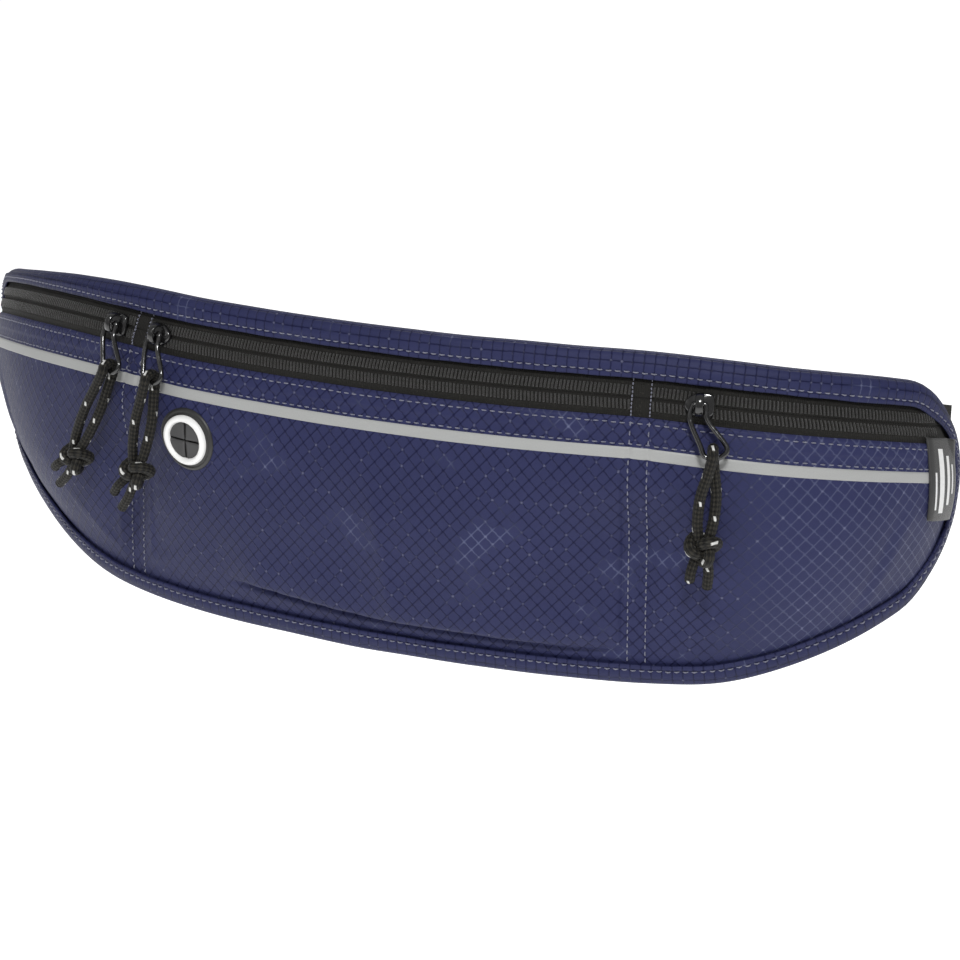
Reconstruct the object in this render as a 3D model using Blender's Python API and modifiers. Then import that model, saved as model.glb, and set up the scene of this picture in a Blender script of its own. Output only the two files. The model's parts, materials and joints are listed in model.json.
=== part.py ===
"""Running waist bag with three zip pockets, a cable port and a buckled belt.

Metres, +Z up. The bag's front faces -Y and +X is to the right of someone who looks at the front.
The origin is on the back face, at the middle of the bag, where it lies against the body.

Most pieces lie on one curved sheet. A place on it has three numbers: s, the arc length along the
bag from its middle; z, the height; and depth, the distance outward from the seam surface.
"""

import math

import bmesh
import bpy
from mathutils import Matrix, Vector

# Overall size
HALF_LENGTH = 0.218
TOP = 0.0585
BOTTOM = -0.0585
GAP = 0.0003

# Plan curve: three arcs, as the bag bends round a waist
CENTRE_RADIUS = 0.480
LEFT_START = 0.059
LEFT_RADIUS = 0.195
RIGHT_START = 0.114
RIGHT_RADIUS = 0.0972

# Outline: the ends drop from the top, rise from the bottom and are rounded
TOP_FALL_START = 0.085
TOP_FALL = 1.27
LEFT_TRIM = 0.0034
LEFT_TRIM_START = 0.070
LEFT_TRIM_LENGTH = 0.110
BOTTOM_RISE_START = 0.119
RIGHT_RISE_DELAY = 0.008
BOTTOM_RISE_SLOPE = 0.33
BOTTOM_RISE_BLEND = 0.020
END_START = 0.190

# Layers, as depths from the seam surface
SKIN = 0.0006
BACK_FACE = -0.0045
MESH_THICK = 0.0008
FOAM_THICK = 0.0020
LINING_THICK = 0.0005
BINDING_THICK = 0.0007
BINDING_WIDTH = 0.0080
BINDING_END_WIDTH = 0.0050
BINDING_LIFT = 0.0008
EDGE_INSET = 0.0016

# Front bands, as distances down from the top edge
ZIP_CENTRE = 0.0142
ZIP_BOTTOM = 0.0199
STRIP_TOP = 0.0293
STRIP_BOTTOM = 0.0330

# Pockets
PUFF = 0.0110
PUFF_POWER = 0.8
PUFF_END_START = 0.130
PUFF_END_LOSS = 0.45
LEFT_SEAM = -0.0885
LEFT_SEAM_LEAN = 0.11
RIGHT_SEAM = 0.0980
SEAM_WIDTH = 0.0066
SEAM_LEVEL_TOP = 0.92
SEAM_LEVEL_LOW = 0.15

# Zip coils and sliders
COIL_HEIGHT = 0.0056
COIL_THICK = 0.0014
COIL_END = 0.1840
STOP_LENGTH = 0.0016
SLIDER_LENGTH = 0.0095
SLIDER_HEIGHT = 0.0078
SLIDER_THICK = 0.0013
SLIDER_CLEAR = 0.0006
CROWN_THICK = 0.0011
CROWN_RISE = 0.0042
PULL_WIRE = 0.0017
PULL_LENGTH = 0.0132
PULL_TOP_WIDTH = 0.0072
PULL_BOTTOM_WIDTH = 0.0100
PULL_BAR_DEPTH = 0.0138

# Cords
CORD = 0.0034
KNOT_DEPTH = 0.0178
KNOT_RADIUS = 0.0052
TAIL_SPREAD = 0.0024

# Cable port
PORT_S = -0.0600
PORT_Z = 0.0115
PORT_FLANGE = 0.0110
PORT_RING = 0.0088
PORT_HOLE = 0.0065
PORT_MEMBRANE = 0.0061
SLIT_WIDTH = 0.0005

# Side label
LABEL_START = 0.1935
LABEL_END = 0.2045
LABEL_TOP = 0.0250
LABEL_BOTTOM = -0.0030

# Belt and buckle
BELT_WIDTH = 0.0250
BELT_THICK = 0.0016
BELT_HEIGHT = 0.0040
BELT_SEWN = 0.0190
BELT_END = 0.2070
BELT_TAIL = 0.0900
BELT_Y = 0.0500
LAYER = 0.0011
KEEPER_X = 0.0900
KEEPER_WIDTH = 0.0100
BUCKLE_WIDTH = 0.0330
BUCKLE_DEPTH = 0.0100
BUCKLE_MOUTH = 0.0030
SOCKET_LENGTH = 0.0340
SOCKET_SLOT = 0.0360
PLUG_SLOT = 0.0230
FRAME_THICK = 0.0036
SLOT = 0.0055
BAR = 0.0028
PRONG = 0.0240

COLOURS = {
    "navy": ((0.040, 0.043, 0.120), 0.55, 0.0),
    "black": ((0.020, 0.019, 0.017), 0.75, 0.0),
    "grey": ((0.330, 0.335, 0.330), 0.40, 0.0),
    "white": ((0.800, 0.800, 0.790), 0.35, 0.0),
    "rubber": ((0.060, 0.060, 0.062), 0.60, 0.0),
    "metal": ((0.012, 0.012, 0.012), 0.22, 1.0),
    "plastic": ((0.018, 0.018, 0.019), 0.40, 0.0),
}


def smooth(value):
    """Ramp from 0 to 1 with flat ends."""
    t = min(max(value, 0.0), 1.0)
    return t * t * (3.0 - 2.0 * t)


# ---------------------------------------------------------------- the curved sheet


def plan(s):
    """Plan position and turning angle of the seam surface at arc length s."""
    start, radius = (LEFT_START, LEFT_RADIUS) if s < 0.0 else (RIGHT_START, RIGHT_RADIUS)
    along = abs(s)
    first = min(along, start) / CENTRE_RADIUS
    angle = first + max(along - start, 0.0) / radius
    x = CENTRE_RADIUS * math.sin(first) + radius * (math.sin(angle) - math.sin(first))
    y = CENTRE_RADIUS * (1.0 - math.cos(first)) + radius * (math.cos(first) - math.cos(angle))
    side = math.copysign(1.0, s)
    return side * x, y + BACK_FACE, side * angle


def place(s, z, depth):
    """World point at arc length s, height z and depth outward."""
    x, y, angle = plan(s)
    return Vector((x + math.sin(angle) * depth, y - math.cos(angle) * depth, z))


def top_line(s):
    """Top edge before its ends are rounded."""
    return TOP - TOP_FALL * max(abs(s) - TOP_FALL_START, 0.0) ** 2


def bottom_line(s):
    """Bottom edge before its ends are rounded."""
    along = abs(s) - BOTTOM_RISE_START - RIGHT_RISE_DELAY * smooth(s / BOTTOM_RISE_START)
    blend = math.hypot(along, BOTTOM_RISE_BLEND)
    return BOTTOM + 0.5 * BOTTOM_RISE_SLOPE * (along + blend)


def top_trim(s):
    """How much lower the outline runs than the top line, toward the left end."""
    return LEFT_TRIM * smooth((-s - LEFT_TRIM_START) / LEFT_TRIM_LENGTH)


def outline(s, inset=0.0):
    """Bottom and top of the rounded outline, pulled in by inset."""
    top = top_line(s) - top_trim(s)
    bottom = bottom_line(s)
    reach = (abs(s) - END_START) / (HALF_LENGTH - inset - END_START)
    round_off = math.sqrt(max(1.0 - max(reach, 0.0) ** 2, 0.0))
    middle = 0.5 * (top + bottom)
    half = 0.5 * (top - bottom) * round_off - inset * min(round_off * 2.0, 1.0)
    return middle - half, middle + half


def seam_at(z, seam):
    """A divider's arc length at height z. The left one leans a little."""
    lean = LEFT_SEAM_LEAN if seam < 0.0 else 0.0
    return seam + lean * z


def pocket_share(s, z):
    """0 at a divider or an end, 1 in the middle of a pocket."""
    left = seam_at(z, LEFT_SEAM)
    right = seam_at(z, RIGHT_SEAM)
    if s < left:
        low, high = 2.0 * -END_START - left, left
    elif s < right:
        low, high = left, right
    else:
        low, high = right, 2.0 * END_START - right
    across = 2.0 * (s - low) / (high - low) - 1.0
    return 1.0 - min(abs(across), 1.0) ** 4


def puff(s, z):
    """How far the front stands out from the seam surface. It is 0 under the binding."""
    top = top_line(s)
    bottom = bottom_line(s)
    across = (z - 0.5 * (top + bottom)) / (0.5 * (top - bottom) - BINDING_WIDTH)
    onward = max(abs(s) - END_START, 0.0) / (HALF_LENGTH - END_START - BINDING_END_WIDTH)
    reach = math.hypot(across, onward)
    if reach >= 1.0:
        return 0.0
    bulge = math.cos(0.5 * math.pi * reach) ** PUFF_POWER
    sewn = smooth((0.44 - across) / 0.60)
    level = SEAM_LEVEL_TOP + (SEAM_LEVEL_LOW - SEAM_LEVEL_TOP) * sewn
    share = level + (1.0 - level) * pocket_share(s, z)
    ending = 1.0 - PUFF_END_LOSS * smooth((abs(s) - PUFF_END_START) / (HALF_LENGTH - PUFF_END_START))
    return PUFF * bulge * share * ending


def on_front(s, z, above=0.0):
    """World point on the front surface, lifted by above."""
    return place(s, z, puff(s, z) + above)


def front_frame(s, z, above=0.0):
    """Matrix on the front surface: X along the bag, Y up the surface, Z outward."""
    step = 0.0005
    along = (on_front(s + step, z) - on_front(s - step, z)).normalized()
    upward = (on_front(s, z + step) - on_front(s, z - step)).normalized()
    outward = along.cross(upward).normalized()
    upward = outward.cross(along)
    turn = Matrix((along, upward, outward)).transposed().to_4x4()
    return Matrix.Translation(on_front(s, z) + outward * above) @ turn


def steps(start, end, count):
    """Evenly spaced numbers, both ends included."""
    return [start + (end - start) * i / count for i in range(count + 1)]


def columns(start, end, count):
    """Arc lengths from start to end, closer together where the ends are rounded."""
    inner_start = max(start, -END_START)
    inner_end = min(end, END_START)
    values = steps(inner_start, inner_end, count)
    corner = 5
    for i in range(1, corner + 1):
        turn = math.sin(0.5 * math.pi * i / corner)
        if end > END_START:
            values.append(END_START + (end - END_START) * turn)
        if start < -END_START:
            values.insert(0, -END_START + (start + END_START) * turn)
    return values


# ---------------------------------------------------------------- making objects


def clear_scene():
    for item in list(bpy.data.objects):
        bpy.data.objects.remove(item, do_unlink=True)


def make_materials():
    made = {}
    for name, (colour, roughness, metallic) in COLOURS.items():
        material = bpy.data.materials.new(name)
        material.use_nodes = True
        shader = material.node_tree.nodes["Principled BSDF"]
        shader.inputs["Base Color"].default_value = (*colour, 1.0)
        shader.inputs["Roughness"].default_value = roughness
        shader.inputs["Metallic"].default_value = metallic
        made[name] = material
    return made


def new_collection(name):
    collection = bpy.data.collections.new(name)
    bpy.context.scene.collection.children.link(collection)
    return collection


def add_object(name, data, material):
    item = bpy.data.objects.new(name, data)
    data.materials.append(MATERIALS[material])
    PARTS.objects.link(item)
    return item


def add_mesh(name, bm, material):
    bmesh.ops.recalc_face_normals(bm, faces=bm.faces)
    mesh = bpy.data.meshes.new(name)
    bm.to_mesh(mesh)
    bm.free()
    mesh.shade_smooth()
    mesh.set_sharp_from_angle(angle=math.radians(40.0))
    return add_object(name, mesh, material)


def sheet(name, along, rows, put, thickness, material):
    """A grid laid on a surface by put(value, share) and given a thickness outward."""
    bm = bmesh.new()
    bmesh.ops.create_grid(bm, x_segments=len(along) - 1, y_segments=rows, size=1.0)
    for vertex in bm.verts:
        column = round((vertex.co.x + 1.0) * 0.5 * (len(along) - 1))
        share = (vertex.co.y + 1.0) * 0.5
        vertex.co = put(along[column], share)
    mesh = bpy.data.meshes.new(name)
    bm.to_mesh(mesh)
    bm.free()
    item = add_object(name, mesh, material)
    shell = item.modifiers.new("thickness", "SOLIDIFY")
    shell.thickness = thickness
    shell.offset = 1.0
    return item


def band(name, along, rows, low, high, depth, thickness, material):
    """A sheet between two heights, which are functions of s, at a depth function of s and z."""

    def put(s, share):
        z = low(s) + (high(s) - low(s)) * share
        return place(s, z, depth(s, z))

    return sheet(name, along, rows, put, thickness, material)


def ring(name, sections, material):
    """A closed tube of equal sections, each a list of points."""
    bm = bmesh.new()
    rows = [[bm.verts.new(point) for point in section] for section in sections]
    count = len(rows[0])
    for i, row in enumerate(rows):
        following = rows[(i + 1) % len(rows)]
        for j in range(count):
            k = (j + 1) % count
            bm.faces.new((row[j], row[k], following[k], following[j]))
    return add_mesh(name, bm, material)


def smooth_path(points, count, cyclic=False):
    """Catmull-Rom curve through points, with count steps on each stretch."""
    points = [Vector(point) for point in points]
    total = len(points)
    stretches = total if cyclic else total - 1
    path = []
    for i in range(stretches):
        before = points[i - 1] if cyclic or i > 0 else points[0] * 2.0 - points[1]
        here = points[i]
        after = points[(i + 1) % total]
        if cyclic or i + 2 < total:
            beyond = points[(i + 2) % total]
        else:
            beyond = after * 2.0 - here
        for j in range(count):
            t = j / count
            path.append(0.5 * (2.0 * here + (after - before) * t
                               + (2.0 * before - 5.0 * here + 4.0 * after - beyond) * t ** 2
                               + (3.0 * here - before - 3.0 * after + beyond) * t ** 3))
    if not cyclic:
        path.append(points[-1])
    return path


def tube(name, points, diameter, material, cyclic=False):
    """A round tube through points, as a curve with filled caps."""
    curve = bpy.data.curves.new(name, "CURVE")
    curve.dimensions = "3D"
    curve.bevel_depth = 0.5 * diameter
    curve.bevel_resolution = 2
    curve.use_fill_caps = not cyclic
    line = curve.splines.new("POLY")
    line.points.add(len(points) - 1)
    for slot, point in zip(line.points, points):
        slot.co = (*point, 1.0)
    line.use_cyclic_u = cyclic
    return add_object(name, curve, material)


def as_mesh(item):
    """Replace a curve object with a closed mesh object of the same name."""
    name = item.name
    bpy.context.view_layer.update()
    shown = item.evaluated_get(bpy.context.evaluated_depsgraph_get())
    mesh = bpy.data.meshes.new_from_object(shown)
    bm = bmesh.new()
    bm.from_mesh(mesh)
    bmesh.ops.remove_doubles(bm, verts=bm.verts, dist=0.00001)
    bm.to_mesh(mesh)
    bm.free()
    matrix = item.matrix_world.copy()
    curve = item.data
    bpy.data.objects.remove(item, do_unlink=True)
    bpy.data.curves.remove(curve)
    solid = bpy.data.objects.new(name, mesh)
    PARTS.objects.link(solid)
    solid.matrix_world = matrix
    return solid


def guide(item):
    """Turn an object into a cutter or a joined shape that isn't a part of its own."""
    PARTS.objects.unlink(item)
    CUTTERS.objects.link(item)
    item.hide_render = True
    item.display_type = "WIRE"
    return item


def combine(item, other, operation):
    change = item.modifiers.new(operation.lower(), "BOOLEAN")
    change.operation = operation
    change.object = guide(other)
    return item


def box(name, size, matrix, material, bevel=0.0):
    """A box with its size applied and, where asked, rounded edges."""
    bm = bmesh.new()
    bmesh.ops.create_cube(bm, size=1.0)
    bmesh.ops.scale(bm, vec=size, verts=bm.verts)
    item = add_mesh(name, bm, material)
    item.matrix_world = matrix
    if bevel > 0.0:
        edge = item.modifiers.new("edges", "BEVEL")
        edge.width = bevel
        edge.segments = 2
    return item


# ---------------------------------------------------------------- bag body


def back_layer(name, depth, thickness, material):
    """One flat layer of the back, all over the outline."""
    return band(
        name,
        columns(-HALF_LENGTH + 2.0 * EDGE_INSET, HALF_LENGTH - 2.0 * EDGE_INSET, 28),
        1,
        lambda s: outline(s, EDGE_INSET)[0],
        lambda s: outline(s, EDGE_INSET)[1],
        lambda s, z: depth,
        thickness,
        material,
    )


def build_back():
    mesh_depth = BACK_FACE
    foam_depth = mesh_depth + MESH_THICK + GAP
    lining_depth = foam_depth + FOAM_THICK + GAP
    back_layer("back_mesh", mesh_depth, MESH_THICK, "black")
    back_layer("back_foam", foam_depth, FOAM_THICK, "rubber")
    back_layer("lining", lining_depth, LINING_THICK, "black")


def binding_edge(s):
    """Height of the binding's inner edge along the top."""
    top = top_line(s)
    bottom = bottom_line(s)
    onward = max(abs(s) - END_START, 0.0) / (HALF_LENGTH - END_START - BINDING_END_WIDTH)
    half = 0.5 * (top - bottom) - BINDING_WIDTH
    return 0.5 * (top + bottom) + half * math.sqrt(max(1.0 - onward * onward, 0.0))


def build_zip_tapes():
    tucked = 0.0040

    def put_upper(s, share):
        low = top_line(s) - ZIP_CENTRE + 0.5 * GAP
        high = max(binding_edge(s), low + 0.0002)
        heights = (low, 0.5 * (low + high), high, high + tucked - 0.85 * top_trim(s))
        return on_front(s, heights[round(3.0 * share)])

    short = HALF_LENGTH - 0.0120
    sheet("zip_tape_upper", columns(-short, short, 32), 3, put_upper, SKIN, "black")
    reach = HALF_LENGTH - 0.0100
    band(
        "zip_tape_lower",
        columns(-reach, reach, 32),
        2,
        lambda s: top_line(s) - ZIP_BOTTOM + 0.5 * GAP,
        lambda s: top_line(s) - ZIP_CENTRE - 0.5 * GAP,
        puff,
        SKIN,
        "black",
    )


def build_bands():
    reach = HALF_LENGTH - 0.0055
    along = columns(-reach, reach, 32)
    band(
        "zip_facing",
        along,
        2,
        lambda s: top_line(s) - STRIP_TOP + 0.5 * GAP,
        lambda s: top_line(s) - ZIP_BOTTOM - 0.5 * GAP,
        puff,
        SKIN,
        "navy",
    )
    band(
        "reflective_strip",
        along,
        1,
        lambda s: top_line(s) - STRIP_BOTTOM + 0.5 * GAP,
        lambda s: top_line(s) - STRIP_TOP - 0.5 * GAP,
        puff,
        SKIN,
        "grey",
    )


def panel(name, start, end, count, rows=8):
    """A front panel below the strip, between two edges that are functions of z."""
    left_end = start(0.0)
    right_end = end(0.0)
    along = [(s - left_end) / (right_end - left_end) for s in columns(left_end, right_end, count)]

    def height(s, row):
        edge = outline(s, EDGE_INSET)[0]
        if row == 0:
            return edge
        inner = min(edge + BINDING_WIDTH - EDGE_INSET, top_line(s) - STRIP_BOTTOM - 0.004)
        high = top_line(s) - STRIP_BOTTOM - 0.5 * GAP
        return inner + (high - inner) * (row - 1) / (rows - 1)

    def put(share_s, share_z):
        s = left_end + (right_end - left_end) * share_s
        row = round(share_z * rows)
        for _ in range(3):
            z = height(s, row)
            s = start(z) + (end(z) - start(z)) * share_s
        return on_front(s, z)

    return sheet(name, along, rows, put, SKIN, "navy")


def build_panels():
    half = 0.5 * SEAM_WIDTH + GAP
    reach = HALF_LENGTH - 0.0045
    panel("front_left", lambda z: -reach, lambda z: seam_at(z, LEFT_SEAM) - half, 12)
    centre = panel(
        "front_centre",
        lambda z: seam_at(z, LEFT_SEAM) + half,
        lambda z: seam_at(z, RIGHT_SEAM) - half,
        20,
    )
    panel("front_right", lambda z: seam_at(z, RIGHT_SEAM) + half, lambda z: reach, 12)
    for name, seam in (("divider_left", LEFT_SEAM), ("divider_right", RIGHT_SEAM)):
        inner = 0.5 * SEAM_WIDTH
        panel(
            name,
            lambda z, seam=seam: seam_at(z, seam) - inner,
            lambda z, seam=seam: seam_at(z, seam) + inner,
            2,
        )
    bm = bmesh.new()
    bmesh.ops.create_cone(
        bm, cap_ends=True, segments=32, radius1=PORT_HOLE, radius2=PORT_HOLE, depth=0.012
    )
    cutter = add_mesh("port_cutter", bm, "navy")
    cutter.matrix_world = front_frame(PORT_S, PORT_Z)
    combine(centre, cutter, "DIFFERENCE")


def build_binding():
    """Folded tape all round the outline, as a C that holds the layers."""
    reach = HALF_LENGTH
    along = columns(-reach * 0.9995, reach * 0.9995, 30)
    loop = [(s, outline(s)[1]) for s in along]
    loop += [(s, outline(s)[0]) for s in reversed(along)]
    back = BACK_FACE - GAP - BINDING_THICK
    front = SKIN + GAP + BINDING_THICK
    web = EDGE_INSET - GAP
    corner = 0.0012
    sections = []
    for i, (s, z) in enumerate(loop):
        before = Vector(loop[i - 1])
        after = Vector(loop[(i + 1) % len(loop)])
        run = (after - before).normalized()
        inward = Vector((run.y, -run.x))
        width = BINDING_WIDTH + (BINDING_END_WIDTH - BINDING_WIDTH) * smooth((abs(s) - 0.200) / 0.016)
        if i < len(along):
            width = max(width - top_trim(s), 0.5 * BINDING_WIDTH)
        profile = (
            (0.0, back + corner),
            (corner, back),
            (width, back),
            (width, back + BINDING_THICK),
            (web, back + BINDING_THICK),
            (web, front - BINDING_THICK),
            (width, front + BINDING_LIFT - BINDING_THICK),
            (width, front + BINDING_LIFT),
            (corner, front),
            (0.0, front - corner),
        )
        sections.append(
            [place(s + inward.x * w, z + inward.y * w, depth) for w, depth in profile]
        )
    ring("edge_binding", sections, "navy")


def build_coils():
    half = 0.5 * COIL_HEIGHT
    gap = 0.5 * SEAM_WIDTH
    depth = -COIL_THICK - 2.0 * GAP
    zips = (
        ("zip_coil_left", -COIL_END, seam_at(0.04, LEFT_SEAM) - gap, 14),
        ("zip_coil_centre", seam_at(0.04, LEFT_SEAM) + gap, RIGHT_SEAM - gap, 22),
        ("zip_coil_right", RIGHT_SEAM + gap, COIL_END, 14),
    )
    for name, start, end, count in zips:
        band(
            name,
            steps(start, end, count),
            1,
            lambda s: top_line(s) - ZIP_CENTRE - half,
            lambda s: top_line(s) - ZIP_CENTRE + half,
            lambda s, z: puff(s, z) + depth,
            COIL_THICK,
            "black",
        )


def build_stops():
    """Bar tacks across the zip, one on each side of each divider."""
    number = 0
    for seam in (LEFT_SEAM, RIGHT_SEAM):
        for side in (-0.5, 0.5):
            number += 1
            s = seam_at(0.04, seam) + side * SEAM_WIDTH
            matrix = front_frame(s, top_line(s) - ZIP_CENTRE, SKIN + GAP + 0.0004)
            box("zip_stop_%d" % number, (STOP_LENGTH, 0.0080, 0.0008), matrix, "navy")


# ---------------------------------------------------------------- cable port and label


def surface_ring(name, profile, s, z, material, count=32):
    """A ring laid on the front. The profile gives radius and lift above the fabric."""
    sections = []
    for i in range(count):
        turn = 2.0 * math.pi * i / count
        section = []
        for radius, lift in profile:
            at_s = s + radius * math.cos(turn)
            at_z = z + radius * math.sin(turn)
            section.append(on_front(at_s, at_z, SKIN + GAP + lift))
        sections.append(section)
    return ring(name, sections, material)


def build_port():
    flange_lift = 0.0007
    flange = ((PORT_HOLE, 0.0), (PORT_FLANGE, 0.0), (PORT_FLANGE - 0.0004, flange_lift),
              (PORT_HOLE, flange_lift))
    surface_ring("port_flange", flange, PORT_S, PORT_Z, "plastic")
    base = flange_lift + GAP
    collar = ((PORT_HOLE, base), (PORT_RING, base), (PORT_RING - 0.0002, base + 0.0010),
              (PORT_RING - 0.0012, base + 0.0016), (PORT_HOLE + 0.0009, base + 0.0016),
              (PORT_HOLE, base + 0.0010))
    surface_ring("port_ring", collar, PORT_S, PORT_Z, "white")
    bm = bmesh.new()
    bmesh.ops.create_cone(
        bm, cap_ends=True, segments=32, radius1=PORT_MEMBRANE, radius2=PORT_MEMBRANE, depth=0.0010
    )
    membrane = add_mesh("port_membrane", bm, "rubber")
    frame = front_frame(PORT_S, PORT_Z, SKIN + 0.0006)
    membrane.matrix_world = frame
    for turn in (0.0, 0.5 * math.pi):
        cut = box(
            "slit_cutter",
            (1.5 * PORT_MEMBRANE, SLIT_WIDTH, 0.004),
            frame @ Matrix.Rotation(turn, 4, "Z"),
            "rubber",
        )
        combine(membrane, cut, "DIFFERENCE")


def build_label():
    band(
        "side_label",
        steps(LABEL_START, LABEL_END, 4),
        6,
        lambda s: LABEL_BOTTOM,
        lambda s: LABEL_TOP,
        lambda s, z: puff(s, z) + SKIN + GAP,
        0.0005,
        "black",
    )


# ---------------------------------------------------------------- sliders, pulls and cords


def build_slider(name, s):
    """Slider plate with a crown that the pull's top bar passes under."""
    z = top_line(s) - ZIP_CENTRE
    frame = front_frame(s, z, SKIN + SLIDER_CLEAR)
    size = (SLIDER_LENGTH, SLIDER_HEIGHT, SLIDER_THICK)
    lift = Matrix.Translation((0.0, 0.0, 0.5 * SLIDER_THICK))
    plate = box("slider_" + name, size, frame @ lift, "metal", 0.0005)
    crown_size = (0.0024, SLIDER_HEIGHT - 0.0012, CROWN_RISE)
    middle = Matrix.Translation((0.0, 0.0, SLIDER_THICK - 0.0002 + 0.5 * CROWN_RISE))
    crown = box("crown_" + name, crown_size, frame @ middle, "metal", 0.0003)
    hole_size = (0.0060, crown_size[1] - 2.0 * CROWN_THICK, CROWN_RISE - CROWN_THICK)
    under = Matrix.Translation((0.0, 0.0, SLIDER_THICK + 0.5 * hole_size[2]))
    hole = box("crown_hole_" + name, hole_size, frame @ under, "metal")
    combine(crown, hole, "DIFFERENCE")
    return combine(plate, crown, "UNION")


def pull_pivot(s):
    """World point and axis of the bar under the slider's crown."""
    z = top_line(s) - ZIP_CENTRE
    frame = front_frame(s, z, SKIN + SLIDER_CLEAR)
    rise = SLIDER_THICK + 2.0 * GAP + 0.5 * PULL_WIRE
    point = frame @ Vector((0.0, 0.0, rise))
    axis = frame.to_3x3() @ Vector((1.0, 0.0, 0.0))
    return point, axis


def pull_bar(s, lean):
    """World point in the middle of the pull's lower bar."""
    z = top_line(s) - ZIP_CENTRE - PULL_LENGTH
    return place(s + lean, z, PULL_BAR_DEPTH)


def build_pull(name, s, lean):
    """Closed wire loop, narrow and upright at the crown, wide and leaning at the cord."""
    top, axis = pull_pivot(s)
    low = pull_bar(s, lean)
    hanging = pull_bar(s, 0.0) - top
    upright = hanging * 0.30
    flare = hanging * -0.20
    half_top = 0.5 * (PULL_TOP_WIDTH - PULL_WIRE)
    half_low = 0.5 * (PULL_BOTTOM_WIDTH - PULL_WIRE)
    corners = (
        top - axis * half_top * 0.7,
        top,
        top + axis * half_top * 0.7,
        top + axis * half_top + upright,
        low + axis * half_low + flare,
        low + axis * half_low * 0.62,
        low - axis * half_low * 0.62,
        low - axis * half_low + flare,
        top - axis * half_top + upright,
    )
    return tube("pull_" + name, smooth_path(corners, 3, cyclic=True), PULL_WIRE, "metal", True)


def cord_route(s, lean, way):
    """Centre line of the folded cord, from the knot over the pull's bar and back."""
    bar = pull_bar(s, lean)
    x, y, angle = plan(s + lean)
    outward = Vector((math.sin(angle), -math.cos(angle), 0.0))
    along = Vector((math.cos(angle), math.sin(angle), 0.0))
    reach = 0.5 * (PULL_WIRE + CORD) + 3.0 * GAP
    knot = knot_place(s, lean, way)
    start = knot + Vector((0.0, 0.0, KNOT_RADIUS + 4.0 * GAP))
    spread = 0.5 * CORD + GAP
    front_low = start - along * spread
    back_low = start + along * spread
    front = bar + outward * reach
    back = bar - outward * reach
    points = (
        front_low,
        front_low.lerp(front, 0.55) - along * 0.0012,
        front.lerp(front_low, 0.15),
        bar + outward * reach * 0.95 + Vector((0.0, 0.0, 0.0004)),
        bar + Vector((0.0, 0.0, reach)),
        bar - outward * reach * 0.95 + Vector((0.0, 0.0, 0.0004)),
        back.lerp(back_low, 0.15),
        back_low.lerp(back, 0.55) + along * 0.0012,
        back_low,
    )
    return smooth_path(points, 2)


def knot_place(s, lean, way):
    """World point in the middle of the knot."""
    drop, shift = way
    z = top_line(s) - ZIP_CENTRE - PULL_LENGTH - drop
    return place(s + lean + shift, z, KNOT_DEPTH)


def build_cord(name, s, lean, way, tails):
    tube("pull_cord_" + name, cord_route(s, lean, way), CORD, "black")
    knot = knot_place(s, lean, way)
    bm = bmesh.new()
    bmesh.ops.create_uvsphere(bm, u_segments=14, v_segments=9, radius=KNOT_RADIUS)
    ball = add_mesh("pull_knot_" + name, bm, "black")
    ball.location = knot
    angle = plan(s)[2]
    along = Vector((math.cos(angle), math.sin(angle), 0.0))
    outward = Vector((math.sin(angle), -math.cos(angle), 0.0))
    reach = along * tails[0] - Vector((0.0, 0.0, tails[1]))
    across = outward.cross(reach).normalized() * TAIL_SPREAD
    for side in (-1.0, 1.0):
        start = knot + across * side * 0.8 + reach * 0.2
        end = knot + across * side * 1.2 + reach * (1.0 + 0.06 * side)
        tail = as_mesh(tube("tail_%s_%d" % (name, side), [start, end], CORD, "black"))
        combine(ball, tail, "UNION")


# Slider place along the bag, sideways lean of the pull, the knot's drop and shift from the pull,
# and how far the cord's tails reach from the knot, sideways and down
PULLERS = {
    "left": (-0.0945, 0.0045, (0.0345, -0.0140), (-0.0125, 0.0100)),
    "centre": (-0.0745, 0.0030, (0.0325, -0.0040), (-0.0105, 0.0130)),
    "right": (0.1164, 0.0045, (0.0295, -0.0017), (-0.0012, 0.0128)),
}


def build_pullers():
    for name, (s, lean, way, tails) in PULLERS.items():
        build_slider(name, s)
        build_pull(name, s, lean)
        build_cord(name, s, lean, way, tails)


# ---------------------------------------------------------------- belt


def ribbon(name, points, count, material):
    """Upright webbing whose middle follows a plan path."""
    path = smooth_path([Vector((x, y, 0.0)) for x, y in points], count)
    low = BELT_HEIGHT - 0.5 * BELT_WIDTH

    def put(index, share):
        point = path[index]
        return Vector((point.x, point.y, low + BELT_WIDTH * share))

    item = sheet(name, list(range(len(path))), 1, put, BELT_THICK, material)
    item.modifiers["thickness"].offset = 0.0
    return item


def sewn_points(end):
    """Plan points of the webbing where it is sewn flat on the back, near an end of the bag."""
    side = math.copysign(1.0, end)
    depth = BACK_FACE - 2.0 * GAP - BINDING_THICK - 0.5 * BELT_THICK - GAP
    points = []
    for share in (0.0, 0.5, 1.0):
        point = place(end - side * BELT_SEWN * share, 0.0, depth)
        points.append((point.x, point.y))
    flat = points[-1]
    points.append((flat[0] - side * 0.013, flat[1] - 0.0052))
    points.append((flat[0] - side * 0.034, BELT_Y + 0.0002))
    return points


def around_bar(end, side):
    """Plan points of webbing that turns round a buckle bar whose edge is at x = end."""
    lift = 0.5 * FRAME_THICK + 0.5 * BELT_THICK + 0.0005
    turn = 0.0022
    half = ((0.0180, LAYER), (0.0070, 0.9 * lift), (0.0012, lift), (-0.4 * turn, 0.86 * lift),
            (-0.86 * turn, 0.45 * lift))
    points = [(end + side * along, BELT_Y - away) for along, away in half]
    points.append((end - side * turn, BELT_Y))
    points += [(end + side * along, BELT_Y + away) for along, away in reversed(half)]
    return points


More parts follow.
